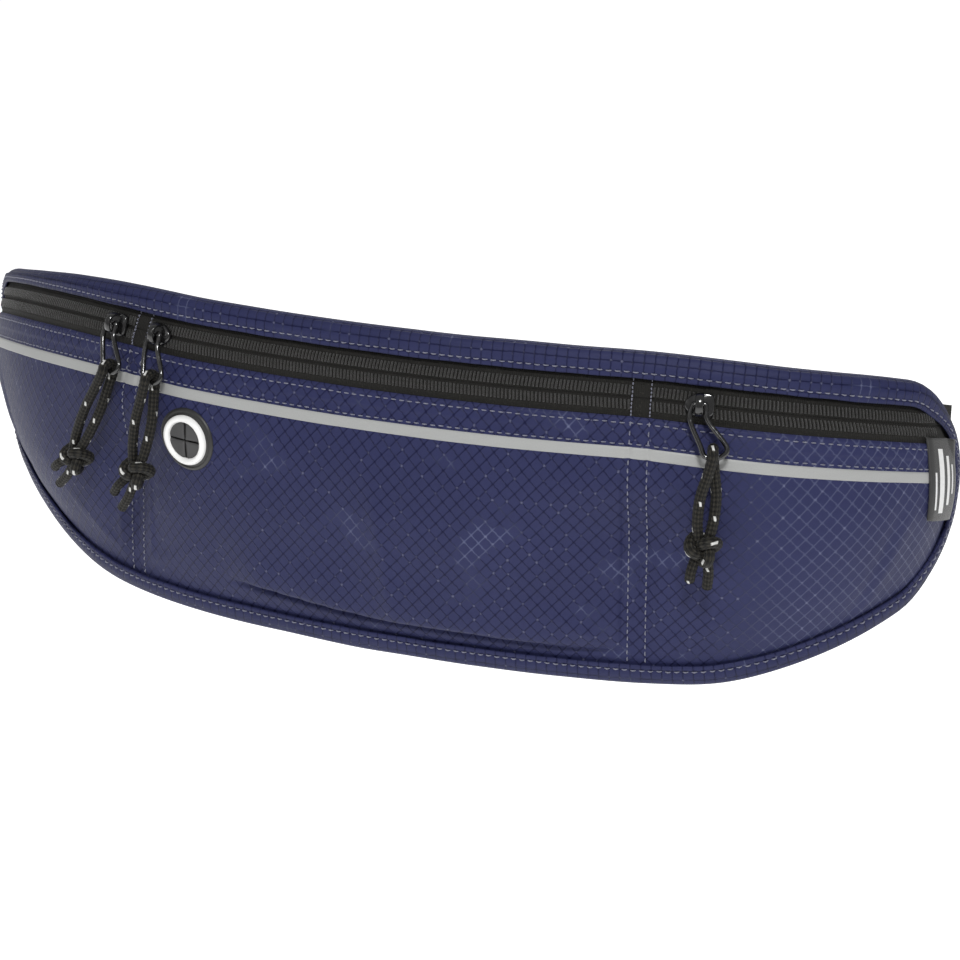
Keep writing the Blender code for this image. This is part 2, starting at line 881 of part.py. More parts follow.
def build_belt():
    left = sewn_points(-BELT_END)
    left += around_bar(-SOCKET_SLOT, -1.0)
    left.append((-SOCKET_SLOT - 0.0280, BELT_Y + LAYER))
    ribbon("belt_left", left, 3, "plastic")
    right = sewn_points(BELT_END)
    right.append((0.0900, BELT_Y - LAYER))
    right += around_bar(PLUG_SLOT, 1.0)
    right.append((0.0750, BELT_Y + LAYER))
    right.append((PLUG_SLOT + BELT_TAIL, BELT_Y + LAYER))
    ribbon("belt_right", right, 3, "plastic")
    wall = 0.0008
    inner = (0.0140, 2.0 * LAYER + BELT_THICK + 2.0 * wall, BELT_WIDTH + 2.0 * wall)
    outer = (KEEPER_WIDTH, inner[1] + 2.0 * wall, inner[2] + 2.0 * wall)
    matrix = Matrix.Translation((KEEPER_X, BELT_Y, BELT_HEIGHT))
    keeper = box("belt_keeper", outer, matrix, "plastic", 0.0003)
    combine(keeper, box("keeper_hole", inner, matrix, "plastic"), "DIFFERENCE")


def buckle_box(name, start, end, height, depth, middle=0.0, bevel=0.0):
    """A box on the belt line between two x places."""
    matrix = Matrix.Translation((0.5 * (start + end), BELT_Y, BELT_HEIGHT + middle))
    return box(name, (end - start, depth, height), matrix, "plastic", bevel)


def build_socket():
    """Female half: a hollow shell, open to the right, with a window on each edge."""
    mouth = BUCKLE_MOUTH
    back = mouth - SOCKET_LENGTH
    wall = 0.0016
    socket = buckle_box("buckle_socket", back, mouth, BUCKLE_WIDTH, BUCKLE_DEPTH, 0.0, 0.0012)
    frame = buckle_box(
        "socket_frame", -SOCKET_SLOT - BAR, back + 0.0010, BUCKLE_WIDTH - 0.0010, FRAME_THICK
    )
    slot = buckle_box("socket_slot", -SOCKET_SLOT, back, BELT_WIDTH + 0.0014, BUCKLE_DEPTH)
    combine(frame, slot, "DIFFERENCE")
    combine(socket, frame, "UNION")
    hollow = (BUCKLE_WIDTH - 2.0 * wall, BUCKLE_DEPTH - 2.0 * wall)
    cavity = buckle_box("socket_cavity", mouth - PRONG - 0.0020, mouth + 0.001, *hollow)
    window = buckle_box(
        "socket_window", mouth - 0.0190, mouth - 0.0080, BUCKLE_WIDTH + 0.002, hollow[1] - 0.0006
    )
    combine(socket, cavity, "DIFFERENCE")
    combine(socket, window, "DIFFERENCE")


def build_plug():
    """Male half: a guide and two side arms on a body with a ladder for the webbing."""
    start = BUCKLE_MOUTH + GAP
    body_end = PLUG_SLOT - SLOT
    plug = buckle_box("buckle_plug", start, body_end, BUCKLE_WIDTH, BUCKLE_DEPTH - 0.001, 0.0, 0.0012)
    frame = buckle_box(
        "plug_frame", body_end - 0.0010, PLUG_SLOT + BAR, BUCKLE_WIDTH - 0.0010, FRAME_THICK
    )
    slot = buckle_box("plug_slot", body_end, PLUG_SLOT, BELT_WIDTH + 0.0014, BUCKLE_DEPTH)
    combine(frame, slot, "DIFFERENCE")
    combine(plug, frame, "UNION")
    thick = BUCKLE_DEPTH - 0.0042
    arm = 0.0040
    edge = 0.5 * BUCKLE_WIDTH - 0.0016 - GAP - 0.5 * arm
    for name, middle, height, length in (
        ("plug_guide", 0.0, 0.0046, PRONG - 0.004),
        ("plug_arm_low", -edge, arm, PRONG),
        ("plug_arm_high", edge, arm, PRONG),
    ):
        prong = buckle_box(name, BUCKLE_MOUTH - length, start + 0.002, height, thick, middle)
        combine(plug, prong, "UNION")


MATERIALS = {}
PARTS = None
CUTTERS = None


def build():
    global PARTS, CUTTERS
    clear_scene()
    PARTS = new_collection("waist_bag")
    CUTTERS = new_collection("cutters")
    MATERIALS.update(make_materials())
    build_back()
    build_zip_tapes()
    build_bands()
    build_panels()
    build_binding()
    build_coils()
    build_stops()
    build_port()
    build_label()
    build_pullers()
    build_belt()
    build_socket()
    build_plug()


build()
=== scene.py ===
"""Looks of the running waist bag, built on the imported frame.

Metres, +Z up, the front faces -Y. A place on the bag has three numbers, as in the CAD: s, the arc
length along the bag from its middle; z, the height; and depth, outward from the seam surface.
"""

import json
import math

import bpy
import numpy as np
from mathutils import Matrix, Vector, noise

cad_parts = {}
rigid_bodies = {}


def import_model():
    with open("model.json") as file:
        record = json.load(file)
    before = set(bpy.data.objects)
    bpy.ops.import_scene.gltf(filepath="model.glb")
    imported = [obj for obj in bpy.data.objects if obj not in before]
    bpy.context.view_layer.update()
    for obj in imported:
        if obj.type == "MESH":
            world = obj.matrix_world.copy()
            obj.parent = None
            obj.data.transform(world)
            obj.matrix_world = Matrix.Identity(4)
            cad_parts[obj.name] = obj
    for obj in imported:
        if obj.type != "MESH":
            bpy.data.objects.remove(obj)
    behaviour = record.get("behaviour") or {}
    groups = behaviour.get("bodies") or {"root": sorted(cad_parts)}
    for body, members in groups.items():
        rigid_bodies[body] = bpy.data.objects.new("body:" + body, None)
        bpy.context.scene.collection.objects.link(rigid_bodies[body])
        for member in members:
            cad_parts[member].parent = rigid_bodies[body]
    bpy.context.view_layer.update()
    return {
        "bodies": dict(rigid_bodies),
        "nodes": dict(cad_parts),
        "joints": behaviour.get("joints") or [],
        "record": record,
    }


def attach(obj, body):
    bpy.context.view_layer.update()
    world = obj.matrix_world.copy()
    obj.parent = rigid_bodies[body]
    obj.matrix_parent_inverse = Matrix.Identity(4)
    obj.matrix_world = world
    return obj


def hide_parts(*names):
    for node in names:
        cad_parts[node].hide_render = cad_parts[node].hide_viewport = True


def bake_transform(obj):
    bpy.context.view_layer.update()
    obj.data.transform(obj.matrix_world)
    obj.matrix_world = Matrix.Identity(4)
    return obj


# Bag, with the same names and values as the CAD
HALF_LENGTH = 0.218
TOP = 0.0585
BOTTOM = -0.0585
CENTRE_RADIUS = 0.480
LEFT_START = 0.059
LEFT_RADIUS = 0.195
RIGHT_START = 0.114
RIGHT_RADIUS = 0.0972
TOP_FALL_START = 0.085
TOP_FALL = 1.27
LEFT_TRIM = 0.0034
LEFT_TRIM_START = 0.070
LEFT_TRIM_LENGTH = 0.110
BOTTOM_RISE_START = 0.119
RIGHT_RISE_DELAY = 0.008
BOTTOM_RISE_SLOPE = 0.33
BOTTOM_RISE_BLEND = 0.020
END_START = 0.190
SKIN = 0.0006
RIP_PITCH = 0.00354
BACK_FACE = -0.0045
BINDING_WIDTH = 0.0080
BINDING_END_WIDTH = 0.0050
ZIP_CENTRE = 0.0142
ZIP_BOTTOM = 0.0199
STRIP_TOP = 0.0293
STRIP_BOTTOM = 0.0330
PUFF = 0.0110
PUFF_POWER = 0.8
PUFF_END_START = 0.130
PUFF_END_LOSS = 0.45
LEFT_SEAM = -0.0885
LEFT_SEAM_LEAN = 0.11
RIGHT_SEAM = 0.0980
SEAM_WIDTH = 0.0066
SEAM_LEVEL_TOP = 0.92
SEAM_LEVEL_LOW = 0.15
PORT_S = -0.0600
PORT_Z = 0.0115
PULL_WIRE = 0.0017
PULL_LENGTH = 0.0132
PULL_BAR_DEPTH = 0.0138
CORD = 0.0034
PLAIT_PITCH = 0.0030
PLAIT_STRANDS = 5.0
KNOT_DEPTH = 0.0178
PULLERS = {
    "left": (-0.0945, 0.0045, (0.0345, -0.0140)),
    "centre": (-0.0745, 0.0030, (0.0325, -0.0040)),
    "right": (0.1164, 0.0045, (0.0295, -0.0017)),
}
BELT_HEIGHT = 0.0040
BELT_WIDTH = 0.0250
BELT_Y = 0.0500

# Camera
CAMERA_PLACE = (0.3454, -0.6918, 0.2985)
CAMERA_YAW = -0.4119
CAMERA_PITCH = 0.3663
CAMERA_LENS = 92.04


# ---------------------------------------------------------------- the bag's surface


def smooth(value):
    """Ramp from 0 to 1 with flat ends."""
    t = min(max(value, 0.0), 1.0)
    return t * t * (3.0 - 2.0 * t)


def hump(value, width):
    """1 at zero, falling to nothing a few widths away."""
    return math.exp(-((value / width) ** 2))


def plan(s):
    """Plan position and turning angle of the seam surface at arc length s."""
    start, radius = (LEFT_START, LEFT_RADIUS) if s < 0.0 else (RIGHT_START, RIGHT_RADIUS)
    along = abs(s)
    first = min(along, start) / CENTRE_RADIUS
    angle = first + max(along - start, 0.0) / radius
    x = CENTRE_RADIUS * math.sin(first) + radius * (math.sin(angle) - math.sin(first))
    y = CENTRE_RADIUS * (1.0 - math.cos(first)) + radius * (math.cos(first) - math.cos(angle))
    side = math.copysign(1.0, s)
    return side * x, y + BACK_FACE, side * angle


def place(s, z, depth):
    """World point at arc length s, height z and depth outward."""
    x, y, angle = plan(s)
    return Vector((x + math.sin(angle) * depth, y - math.cos(angle) * depth, z))


def top_line(s):
    return TOP - TOP_FALL * max(abs(s) - TOP_FALL_START, 0.0) ** 2


def bottom_line(s):
    along = abs(s) - BOTTOM_RISE_START - RIGHT_RISE_DELAY * smooth(s / BOTTOM_RISE_START)
    blend = math.hypot(along, BOTTOM_RISE_BLEND)
    return BOTTOM + 0.5 * BOTTOM_RISE_SLOPE * (along + blend)


def top_trim(s):
    """How much lower the outline runs than the top line, toward the left end."""
    return LEFT_TRIM * smooth((-s - LEFT_TRIM_START) / LEFT_TRIM_LENGTH)


def outline(s, inset=0.0):
    """Bottom and top of the rounded outline, pulled in by inset."""
    top = top_line(s) - top_trim(s)
    bottom = bottom_line(s)
    reach = (abs(s) - END_START) / (HALF_LENGTH - inset - END_START)
    round_off = math.sqrt(max(1.0 - max(reach, 0.0) ** 2, 0.0))
    middle = 0.5 * (top + bottom)
    half = 0.5 * (top - bottom) * round_off - inset * min(round_off * 2.0, 1.0)
    return middle - half, middle + half


def seam_at(z, seam):
    """A divider's arc length at height z. The left one leans a little."""
    lean = LEFT_SEAM_LEAN if seam < 0.0 else 0.0
    return seam + lean * z


def pocket_share(s, z):
    """0 at a divider or an end, 1 in the middle of a pocket."""
    left = seam_at(z, LEFT_SEAM)
    right = seam_at(z, RIGHT_SEAM)
    if s < left:
        low, high = 2.0 * -END_START - left, left
    elif s < right:
        low, high = left, right
    else:
        low, high = right, 2.0 * END_START - right
    across = 2.0 * (s - low) / (high - low) - 1.0
    return 1.0 - min(abs(across), 1.0) ** 4


def puff(s, z):
    """How far the front stands out from the seam surface. It is 0 under the binding."""
    top = top_line(s)
    bottom = bottom_line(s)
    across = (z - 0.5 * (top + bottom)) / (0.5 * (top - bottom) - BINDING_WIDTH)
    onward = max(abs(s) - END_START, 0.0) / (HALF_LENGTH - END_START - BINDING_END_WIDTH)
    reach = math.hypot(across, onward)
    if reach >= 1.0:
        return 0.0
    bulge = math.cos(0.5 * math.pi * reach) ** PUFF_POWER
    sewn = smooth((0.44 - across) / 0.60)
    level = SEAM_LEVEL_TOP + (SEAM_LEVEL_LOW - SEAM_LEVEL_TOP) * sewn
    share = level + (1.0 - level) * pocket_share(s, z)
    ending = 1.0 - PUFF_END_LOSS * smooth((abs(s) - PUFF_END_START) / (HALF_LENGTH - PUFF_END_START))
    return PUFF * bulge * share * ending


def wrinkles(s, z):
    """Soft unevenness of cloth that is held at its seams, a fraction of a millimetre."""
    broad = noise.noise(Vector((s * 22.0, z * 30.0, 3.1)))
    fine = noise.noise(Vector((s * 60.0, z * 95.0, 7.7)))
    return 0.00090 * broad + 0.00026 * fine


def pleats(s, z):
    """Folds and creases of the pockets: the tuck above the bottom binding and lines by the seams."""
    low = bottom_line(s) + BINDING_WIDTH
    rise = z - low
    relief = 0.0
    # the tuck: cloth hangs over a step that is deepest a little right of the middle
    line = 0.0068 + 0.0040 * smooth((0.012 - s) / 0.060) - 0.0020 * smooth((s - 0.020) / 0.070)
    span = smooth((s + 0.052) / 0.020) * smooth((0.0955 - s) / 0.004)
    above = rise - line
    relief += 0.0026 * span * smooth(above / 0.0010 + 0.5) * hump(max(above, 0.0), 0.014)
    relief -= 0.0020 * span * hump(above + 0.0009, 0.0012)
    # an upright crease in the middle pocket and a shallow dish beside it
    crease = s - 0.0125 + 0.10 * (z + 0.01)
    height = smooth((z + 0.050) / 0.020) * smooth((0.020 - z) / 0.030)
    relief += 0.00090 * height * hump(crease, 0.0030)
    relief -= 0.00090 * height * hump(crease + 0.014, 0.010)
    # slanting pulls that run from the dividers' lower ends into the pockets
    for seam, side in ((LEFT_SEAM, 1.0), (RIGHT_SEAM, -1.0), (LEFT_SEAM, -1.0), (RIGHT_SEAM, 1.0)):
        away = side * (s - seam_at(z, seam)) - 0.5 * SEAM_WIDTH
        if away > 0.0:
            near = smooth((0.012 - z) / 0.030)
            relief += 0.00055 * near * hump(away - 0.0042, 0.0018)
            if seam > 0.0 and side < 0.0:
                relief -= 0.00080 * hump(away - 0.0014, 0.0006)
            slant = rise - 0.55 * away - 0.004
            relief += 0.00050 * hump(away, 0.030) * hump(slant, 0.0026)
    # the outer pockets' creases, which follow the rounded ends
    outward = abs(s) - 0.176 - 0.35 * (z + 0.010)
    relief -= 0.00055 * hump(outward, 0.0022) * smooth((0.012 - z) / 0.020)
    relief += 0.00045 * hump(outward - 0.0052, 0.0030) * smooth((0.012 - z) / 0.020)
    return relief


def seam_groove(s, z):
    """Grooves that the divider stitches pull into the cloth."""
    groove = 0.0
    for seam in (LEFT_SEAM, RIGHT_SEAM):
        for side in (-0.5, 0.5):
            groove += 0.00042 * hump(s - seam_at(z, seam) - side * (SEAM_WIDTH - 0.0006), 0.00085)
    return groove


def cloth_depth(s, z):
    """Depth of the front cloth with its wrinkles, which fade under the binding and the port."""
    base = puff(s, z)
    held = smooth(base / 0.0030)
    port = smooth((math.hypot(s - PORT_S, z - PORT_Z) - 0.0115) / 0.006)
    below = smooth((top_line(s) - STRIP_BOTTOM - z) / 0.010)
    relief = wrinkles(s, z) * port * held * (0.35 + 0.65 * below)
    return base + SKIN + relief + pleats(s, z) * held * below * port - seam_groove(s, z) * held


def frame_at(s, z, depth=puff, above=0.0):
    """Matrix on a surface: X along the bag, Y up the surface, Z outward."""
    step = 0.0005
    along = (place(s + step, z, depth(s + step, z)) - place(s - step, z, depth(s - step, z))).normalized()
    upward = (place(s, z + step, depth(s, z + step)) - place(s, z - step, depth(s, z - step))).normalized()
    outward = along.cross(upward).normalized()
    upward = outward.cross(along)
    turn = Matrix((along, upward, outward)).transposed().to_4x4()
    return Matrix.Translation(place(s, z, depth(s, z)) + outward * above) @ turn


# ---------------------------------------------------------------- materials


def new_material(name):
    material = bpy.data.materials.new(name)
    material.use_nodes = True
    tree = material.node_tree
    return material, tree, tree.nodes["Principled BSDF"]


def add_node(tree, kind, settings=None, values=None):
    """A node with its settings (attributes) and values (unlinked inputs) set."""
    node = tree.nodes.new(kind)
    for key, value in (settings or {}).items():
        setattr(node, key, value)
    for key, value in (values or {}).items():
        node.inputs[key].default_value = value
    return node


def math_node(tree, operation, first, second=None, third=None, clamp=False):
    """A math node; each operand is a number or a socket."""
    node = tree.nodes.new("ShaderNodeMath")
    node.operation = operation
    node.use_clamp = clamp
    for slot, value in zip(node.inputs, (first, second, third)):
        if value is None:
            continue
        if isinstance(value, (int, float)):
            slot.default_value = value
        else:
            tree.links.new(value, slot)
    return node.outputs[0]


def ramp(tree, value, low, high):
    """0 below low, 1 above high, smooth between."""
    node = tree.nodes.new("ShaderNodeMapRange")
    node.interpolation_type = "SMOOTHSTEP"
    tree.links.new(value, node.inputs["Value"])
    node.inputs["From Min"].default_value = low
    node.inputs["From Max"].default_value = high
    return node.outputs["Result"]


def mix_colour(tree, share, first, second):
    """Colour mix; share is a socket, each colour a socket or three numbers."""
    node = tree.nodes.new("ShaderNodeMix")
    node.data_type = "RGBA"
    tree.links.new(share, node.inputs["Factor"])
    for slot, value in ((node.inputs[6], first), (node.inputs[7], second)):
        if isinstance(value, tuple):
            slot.default_value = (*value, 1.0)
        else:
            tree.links.new(value, slot)
    return node.outputs[2]


def flat_place(tree, name="flat"):
    """The piece's own flat coordinates in metres, as x and y sockets and the whole vector."""
    source = add_node(tree, "ShaderNodeAttribute", {"attribute_name": name})
    split = tree.nodes.new("ShaderNodeSeparateXYZ")
    tree.links.new(source.outputs["Vector"], split.inputs[0])
    return split.outputs["X"], split.outputs["Y"], source.outputs["Vector"]


def noise_node(tree, vector, scale, detail=2.0, roughness=0.5, stretch=(1.0, 1.0, 1.0)):
    if stretch != (1.0, 1.0, 1.0):
        mapping = add_node(tree, "ShaderNodeMapping", None, {"Scale": stretch})
        tree.links.new(vector, mapping.inputs["Vector"])
        vector = mapping.outputs["Vector"]
    node = add_node(tree, "ShaderNodeTexNoise", None,
                    {"Scale": scale, "Detail": detail, "Roughness": roughness})
    tree.links.new(vector, node.inputs["Vector"])
    return node.outputs["Fac"]


def bump(tree, height, distance, strength=1.0, under=None):
    node = add_node(tree, "ShaderNodeBump", None, {"Strength": strength, "Distance": distance})
    tree.links.new(height, node.inputs["Height"])
    if under is not None:
        tree.links.new(under, node.inputs["Normal"])
    return node.outputs["Normal"]


def near_half(tree, value, inner, outer):
    """1 where value is within inner of a half, 0 where it is beyond outer."""
    off = math_node(tree, "ABSOLUTE", math_node(tree, "SUBTRACT", value, 0.5))
    return math_node(tree, "SUBTRACT", 1.0, ramp(tree, off, inner, outer))


def line_distance(tree, value, pitch):
    """Distance to the nearest of lines that are a pitch apart, in metres."""
    shifted = math_node(tree, "PINGPONG", value, 0.5 * pitch)
    return math_node(tree, "SUBTRACT", 0.5 * pitch, shifted)


def weave(tree, x, y, pitch):
    """Plain weave height, 0 to 1, of threads at a pitch."""
    wave = 2.0 * math.pi / pitch
    across = math_node(tree, "SINE", math_node(tree, "MULTIPLY", x, wave))
    down = math_node(tree, "SINE", math_node(tree, "MULTIPLY", y, wave))
    crossed = math_node(tree, "MULTIPLY", across, down)
    return math_node(tree, "MULTIPLY_ADD", crossed, 0.5, 0.5)


def ripstop(name, cell, diagonal, tint):
    """Navy ripstop: a fine plain weave crossed by thick threads that stand up a little."""
    material, tree, shader = new_material(name)
    x, y, vector = flat_place(tree)
    wobble = noise_node(tree, vector, 900.0, 1.0)
    drift = math_node(tree, "MULTIPLY_ADD", wobble, 0.0005, -0.00025)
    x = math_node(tree, "ADD", x, drift)
    y = math_node(tree, "ADD", y, drift)
    if diagonal:
        # the cells are a little taller than wide
        wide = math_node(tree, "MULTIPLY", x, 1.06 * math.sqrt(0.5))
        tall = math_node(tree, "MULTIPLY", y, 0.95 * math.sqrt(0.5))
        sum_xy = math_node(tree, "ADD", wide, tall)
        dif_xy = math_node(tree, "SUBTRACT", wide, tall)
    else:
        sum_xy, dif_xy = x, y
    # the two sets of rip threads swell where they cross, which rounds the cells' corners
    one = line_distance(tree, sum_xy, cell)
    two = line_distance(tree, dif_xy, cell)
    nearest = math_node(tree, "SMOOTH_MIN", one, two, 0.0008)
    thread = math_node(tree, "SUBTRACT", 1.0, ramp(tree, nearest, -0.00010, 0.00040))
    crossing = math_node(tree, "SUBTRACT", 1.0, ramp(tree, math_node(tree, "ADD", one, two), 0.0002, 0.0008))
    fine = weave(tree, x, y, 0.00042)
    slub = noise_node(tree, vector, 420.0, 3.0, 0.65)
    patch = noise_node(tree, vector, 26.0, 2.0, 0.5)
    # painted highlight: some stretches of rip thread are painted light as if they catch the light, the
    # others stay darker than the cells
    highlight_patches = ramp(tree, noise_node(tree, vector, 30.0, 2.0, 0.6, (1.0, 1.35, 1.0)), 0.57, 0.70)
    painted_highlight = highlight_patches
    if diagonal:
        # painted highlight: the rip threads are painted light toward the right pocket, where the surface
        # turns to the light
        highlight_toward_right = math_node(tree, "MULTIPLY", ramp(tree, x, 0.118, 0.150), 0.75)
        painted_highlight = math_node(tree, "MAXIMUM", highlight_patches, highlight_toward_right)
    # painted glints: small light spots painted where the rip threads cross
    painted_glint_noise = noise_node(tree, vector, 210.0, 1.0, 0.5, (0.8, 1.0, 1.0))
    painted_glint = math_node(tree, "MULTIPLY", crossing, ramp(tree, painted_glint_noise, 0.54, 0.66))
    cell_dark = tuple(0.86 * c for c in tint)
    cell_light = tuple(1.14 * c for c in tint)
    cell_colour = mix_colour(tree, patch, cell_dark, cell_light)
    grain = mix_colour(tree, math_node(tree, "MULTIPLY", slub, 0.40), cell_colour,
                       tuple(0.55 * c for c in tint))
    line_dark = (0.06 * tint[0], 0.08 * tint[1], 0.30 * tint[2])
    line_highlight = (3.4 * tint[0], 3.4 * tint[1], 2.1 * tint[2])
    line_colour = mix_colour(tree, painted_highlight, line_dark, line_highlight)
    with_lines = mix_colour(tree, math_node(tree, "MULTIPLY", thread, 0.95), grain, line_colour)
    colour = mix_colour(tree, math_node(tree, "MULTIPLY", painted_glint, 0.45), with_lines, (0.17, 0.18, 0.28))
    tree.links.new(colour, shader.inputs["Base Color"])
    rough = math_node(tree, "MULTIPLY_ADD", slub, 0.18, 0.42)
    rough = math_node(tree, "MULTIPLY_ADD", thread, -0.12, rough)
    tree.links.new(rough, shader.inputs["Roughness"])
    height = math_node(tree, "MULTIPLY_ADD", thread, 0.9, math_node(tree, "MULTIPLY", fine, 0.22))
    height = math_node(tree, "MULTIPLY_ADD", slub, 0.25, height)
    tree.links.new(bump(tree, height, 0.00016, 0.9), shader.inputs["Normal"])
    shader.inputs["Sheen Weight"].default_value = 0.02
    shader.inputs["Sheen Roughness"].default_value = 0.45
    shader.inputs["Specular IOR Level"].default_value = 0.14
    return material


def zip_tape():
    """Black woven tape: fine upright ribs, with slub and pale specks."""
    material, tree, shader = new_material("zip_tape")
    x, y, vector = flat_place(tree)
    ribs = math_node(tree, "SINE", math_node(tree, "MULTIPLY", x, 2.0 * math.pi / 0.00070))
    rows = math_node(tree, "SINE", math_node(tree, "MULTIPLY", y, 2.0 * math.pi / 0.00060))
    knit = math_node(tree, "MULTIPLY_ADD", rows, 0.4, ribs)
    slub = noise_node(tree, vector, 700.0, 3.0, 0.6)
    specks = ramp(tree, noise_node(tree, vector, 1500.0, 1.0), 0.60, 0.72)
    colour = mix_colour(tree, slub, (0.0035, 0.0033, 0.0028), (0.0120, 0.0113, 0.0096))
    colour = mix_colour(tree, math_node(tree, "MULTIPLY", specks, 0.5), colour, (0.034, 0.032, 0.026))
    tree.links.new(colour, shader.inputs["Base Color"])
    tree.links.new(math_node(tree, "MULTIPLY_ADD", slub, 0.25, 0.55), shader.inputs["Roughness"])
    height = math_node(tree, "MULTIPLY_ADD", slub, 1.2, math_node(tree, "MULTIPLY", knit, 0.45))
    tree.links.new(bump(tree, height, 0.00014), shader.inputs["Normal"])
    shader.inputs["Sheen Weight"].default_value = 0.02
    shader.inputs["Sheen Roughness"].default_value = 0.5
    shader.inputs["Specular IOR Level"].default_value = 0.22
    return material


def cloth_material(name, dark, light, pitch, depth, roughness=0.7, sheen=0.2):
    """Plain woven cloth or thread with slub, in two close tones."""
    material, tree, shader = new_material(name)
    x, y, vector = flat_place(tree)
    slub = noise_node(tree, vector, 0.35 / pitch, 3.0, 0.6)
    fine = weave(tree, x, y, pitch)
    shade = math_node(tree, "MULTIPLY_ADD", fine, 0.35, math_node(tree, "MULTIPLY", slub, 0.65))
    tree.links.new(mix_colour(tree, shade, dark, light), shader.inputs["Base Color"])
    tree.links.new(math_node(tree, "MULTIPLY_ADD", slub, 0.2, roughness - 0.1), shader.inputs["Roughness"])
    height = math_node(tree, "MULTIPLY_ADD", slub, 0.5, fine)
    tree.links.new(bump(tree, height, depth), shader.inputs["Normal"])
    shader.inputs["Sheen Weight"].default_value = sheen
    shader.inputs["Sheen Roughness"].default_value = 0.5
    return material


def reflective():
    """Grey retroreflective film on cloth: a fine grain, faint scuffs, satin."""
    material, tree, shader = new_material("reflective")
    vector = flat_place(tree)[2]
    grain = noise_node(tree, vector, 2600.0, 2.0, 0.6)
    scuff = noise_node(tree, vector, 120.0, 3.0, 0.6, (1.0, 4.0, 1.0))
    colour = mix_colour(tree, grain, (0.275, 0.280, 0.275), (0.375, 0.380, 0.375))
    colour = mix_colour(tree, math_node(tree, "MULTIPLY", scuff, 0.25), colour, (0.22, 0.22, 0.22))
    tree.links.new(colour, shader.inputs["Base Color"])
    tree.links.new(math_node(tree, "MULTIPLY_ADD", grain, 0.15, 0.36), shader.inputs["Roughness"])
    tree.links.new(bump(tree, grain, 0.00004), shader.inputs["Normal"])
    return material


def moulded(name, dark, light, roughness, grain_scale, grain_depth, specular=0.5):
    """Moulded plastic or rubber with a fine texture and slight rub marks."""
    material, tree, shader = new_material(name)
    source = tree.nodes.new("ShaderNodeTexCoord").outputs["Object"]
    grain = noise_node(tree, source, grain_scale, 2.0, 0.6)
    rub = noise_node(tree, source, 0.06 * grain_scale, 3.0, 0.6)
    tree.links.new(mix_colour(tree, rub, dark, light), shader.inputs["Base Color"])
    tree.links.new(math_node(tree, "MULTIPLY_ADD", rub, 0.16, roughness - 0.08), shader.inputs["Roughness"])
    tree.links.new(bump(tree, grain, grain_depth), shader.inputs["Normal"])
    shader.inputs["Specular IOR Level"].default_value = specular
    return material


def black_metal():
    """Glossy black painted zinc, a little orange peel and rubbed thin on its edges."""
    material, tree, shader = new_material("black_metal")
    source = tree.nodes.new("ShaderNodeTexCoord").outputs["Object"]
    peel = noise_node(tree, source, 900.0, 1.0)
    rub = ramp(tree, noise_node(tree, source, 380.0, 4.0, 0.7), 0.56, 0.74)
    colour = mix_colour(tree, rub, (0.0060, 0.0060, 0.0062), (0.030, 0.030, 0.031))
    tree.links.new(colour, shader.inputs["Base Color"])
    tree.links.new(math_node(tree, "MULTIPLY_ADD", rub, 0.20, 0.16), shader.inputs["Roughness"])
    tree.links.new(bump(tree, peel, 0.00003), shader.inputs["Normal"])
    shader.inputs["Metallic"].default_value = 0.0
    shader.inputs["Coat Weight"].default_value = 0.6
    shader.inputs["Coat Roughness"].default_value = 0.08
    return material


def braid():
    """Black braided cord with painted shade and light: near black in the plait's hollows, olive on its
    crests where light falls, and a pale reflective fleck now and then.
    """
    material, tree, shader = new_material("cord_braid")
    x, y, vector = flat_place(tree)
    turns = 2.0 * math.pi
    strands = PLAIT_STRANDS
    pitch = PLAIT_PITCH
    one = math_node(tree, "MULTIPLY_ADD", x, turns / pitch, math_node(tree, "MULTIPLY", y, turns * strands))
    two = math_node(tree, "MULTIPLY_ADD", x, turns / pitch, math_node(tree, "MULTIPLY", y, -turns * strands))
    plait = math_node(tree, "MULTIPLY", math_node(tree, "SINE", one), math_node(tree, "SINE", two))
    height = math_node(tree, "MULTIPLY_ADD", plait, 0.5, 0.5)
    fibre = noise_node(tree, vector, 30.0, 2.0, 0.6, (60.0, 1.0, 1.0))
    # painted shade in the plait's hollows and painted light on its crests
    hollow_shade = (0.0008, 0.0008, 0.0006)
    lit_crest = (0.026, 0.0235, 0.0175)
    colour = mix_colour(tree, ramp(tree, height, 0.30, 0.80), hollow_shade, lit_crest)
    colour = mix_colour(tree, math_node(tree, "MULTIPLY", fibre, 0.4), colour, (0.006, 0.0055, 0.0042))
    # a tracer thread winds round the cord and shows as a short fleck once in each step
    fleck_step = 0.0088
    winding = 60.0
    along = math_node(tree, "FRACT", math_node(tree, "MULTIPLY", x, 1.0 / fleck_step))
    around = math_node(tree, "MULTIPLY_ADD", x, winding, math_node(tree, "MULTIPLY", y, 2.0))
    near_along = near_half(tree, along, 0.070, 0.105)
    near_ring = near_half(tree, math_node(tree, "FRACT", around), 0.055, 0.10)
    fleck = math_node(tree, "MULTIPLY", near_along, near_ring)
    colour = mix_colour(tree, fleck, colour, (0.62, 0.62, 0.60))
    tree.links.new(colour, shader.inputs["Base Color"])
    tree.links.new(math_node(tree, "MULTIPLY_ADD", fleck, -0.25, 0.62), shader.inputs["Roughness"])
    tree.links.new(bump(tree, height, 0.00050), shader.inputs["Normal"])
    shader.inputs["Sheen Weight"].default_value = 0.03
    shader.inputs["Sheen Roughness"].default_value = 0.5
    shader.inputs["Specular IOR Level"].default_value = 0.25
    return material


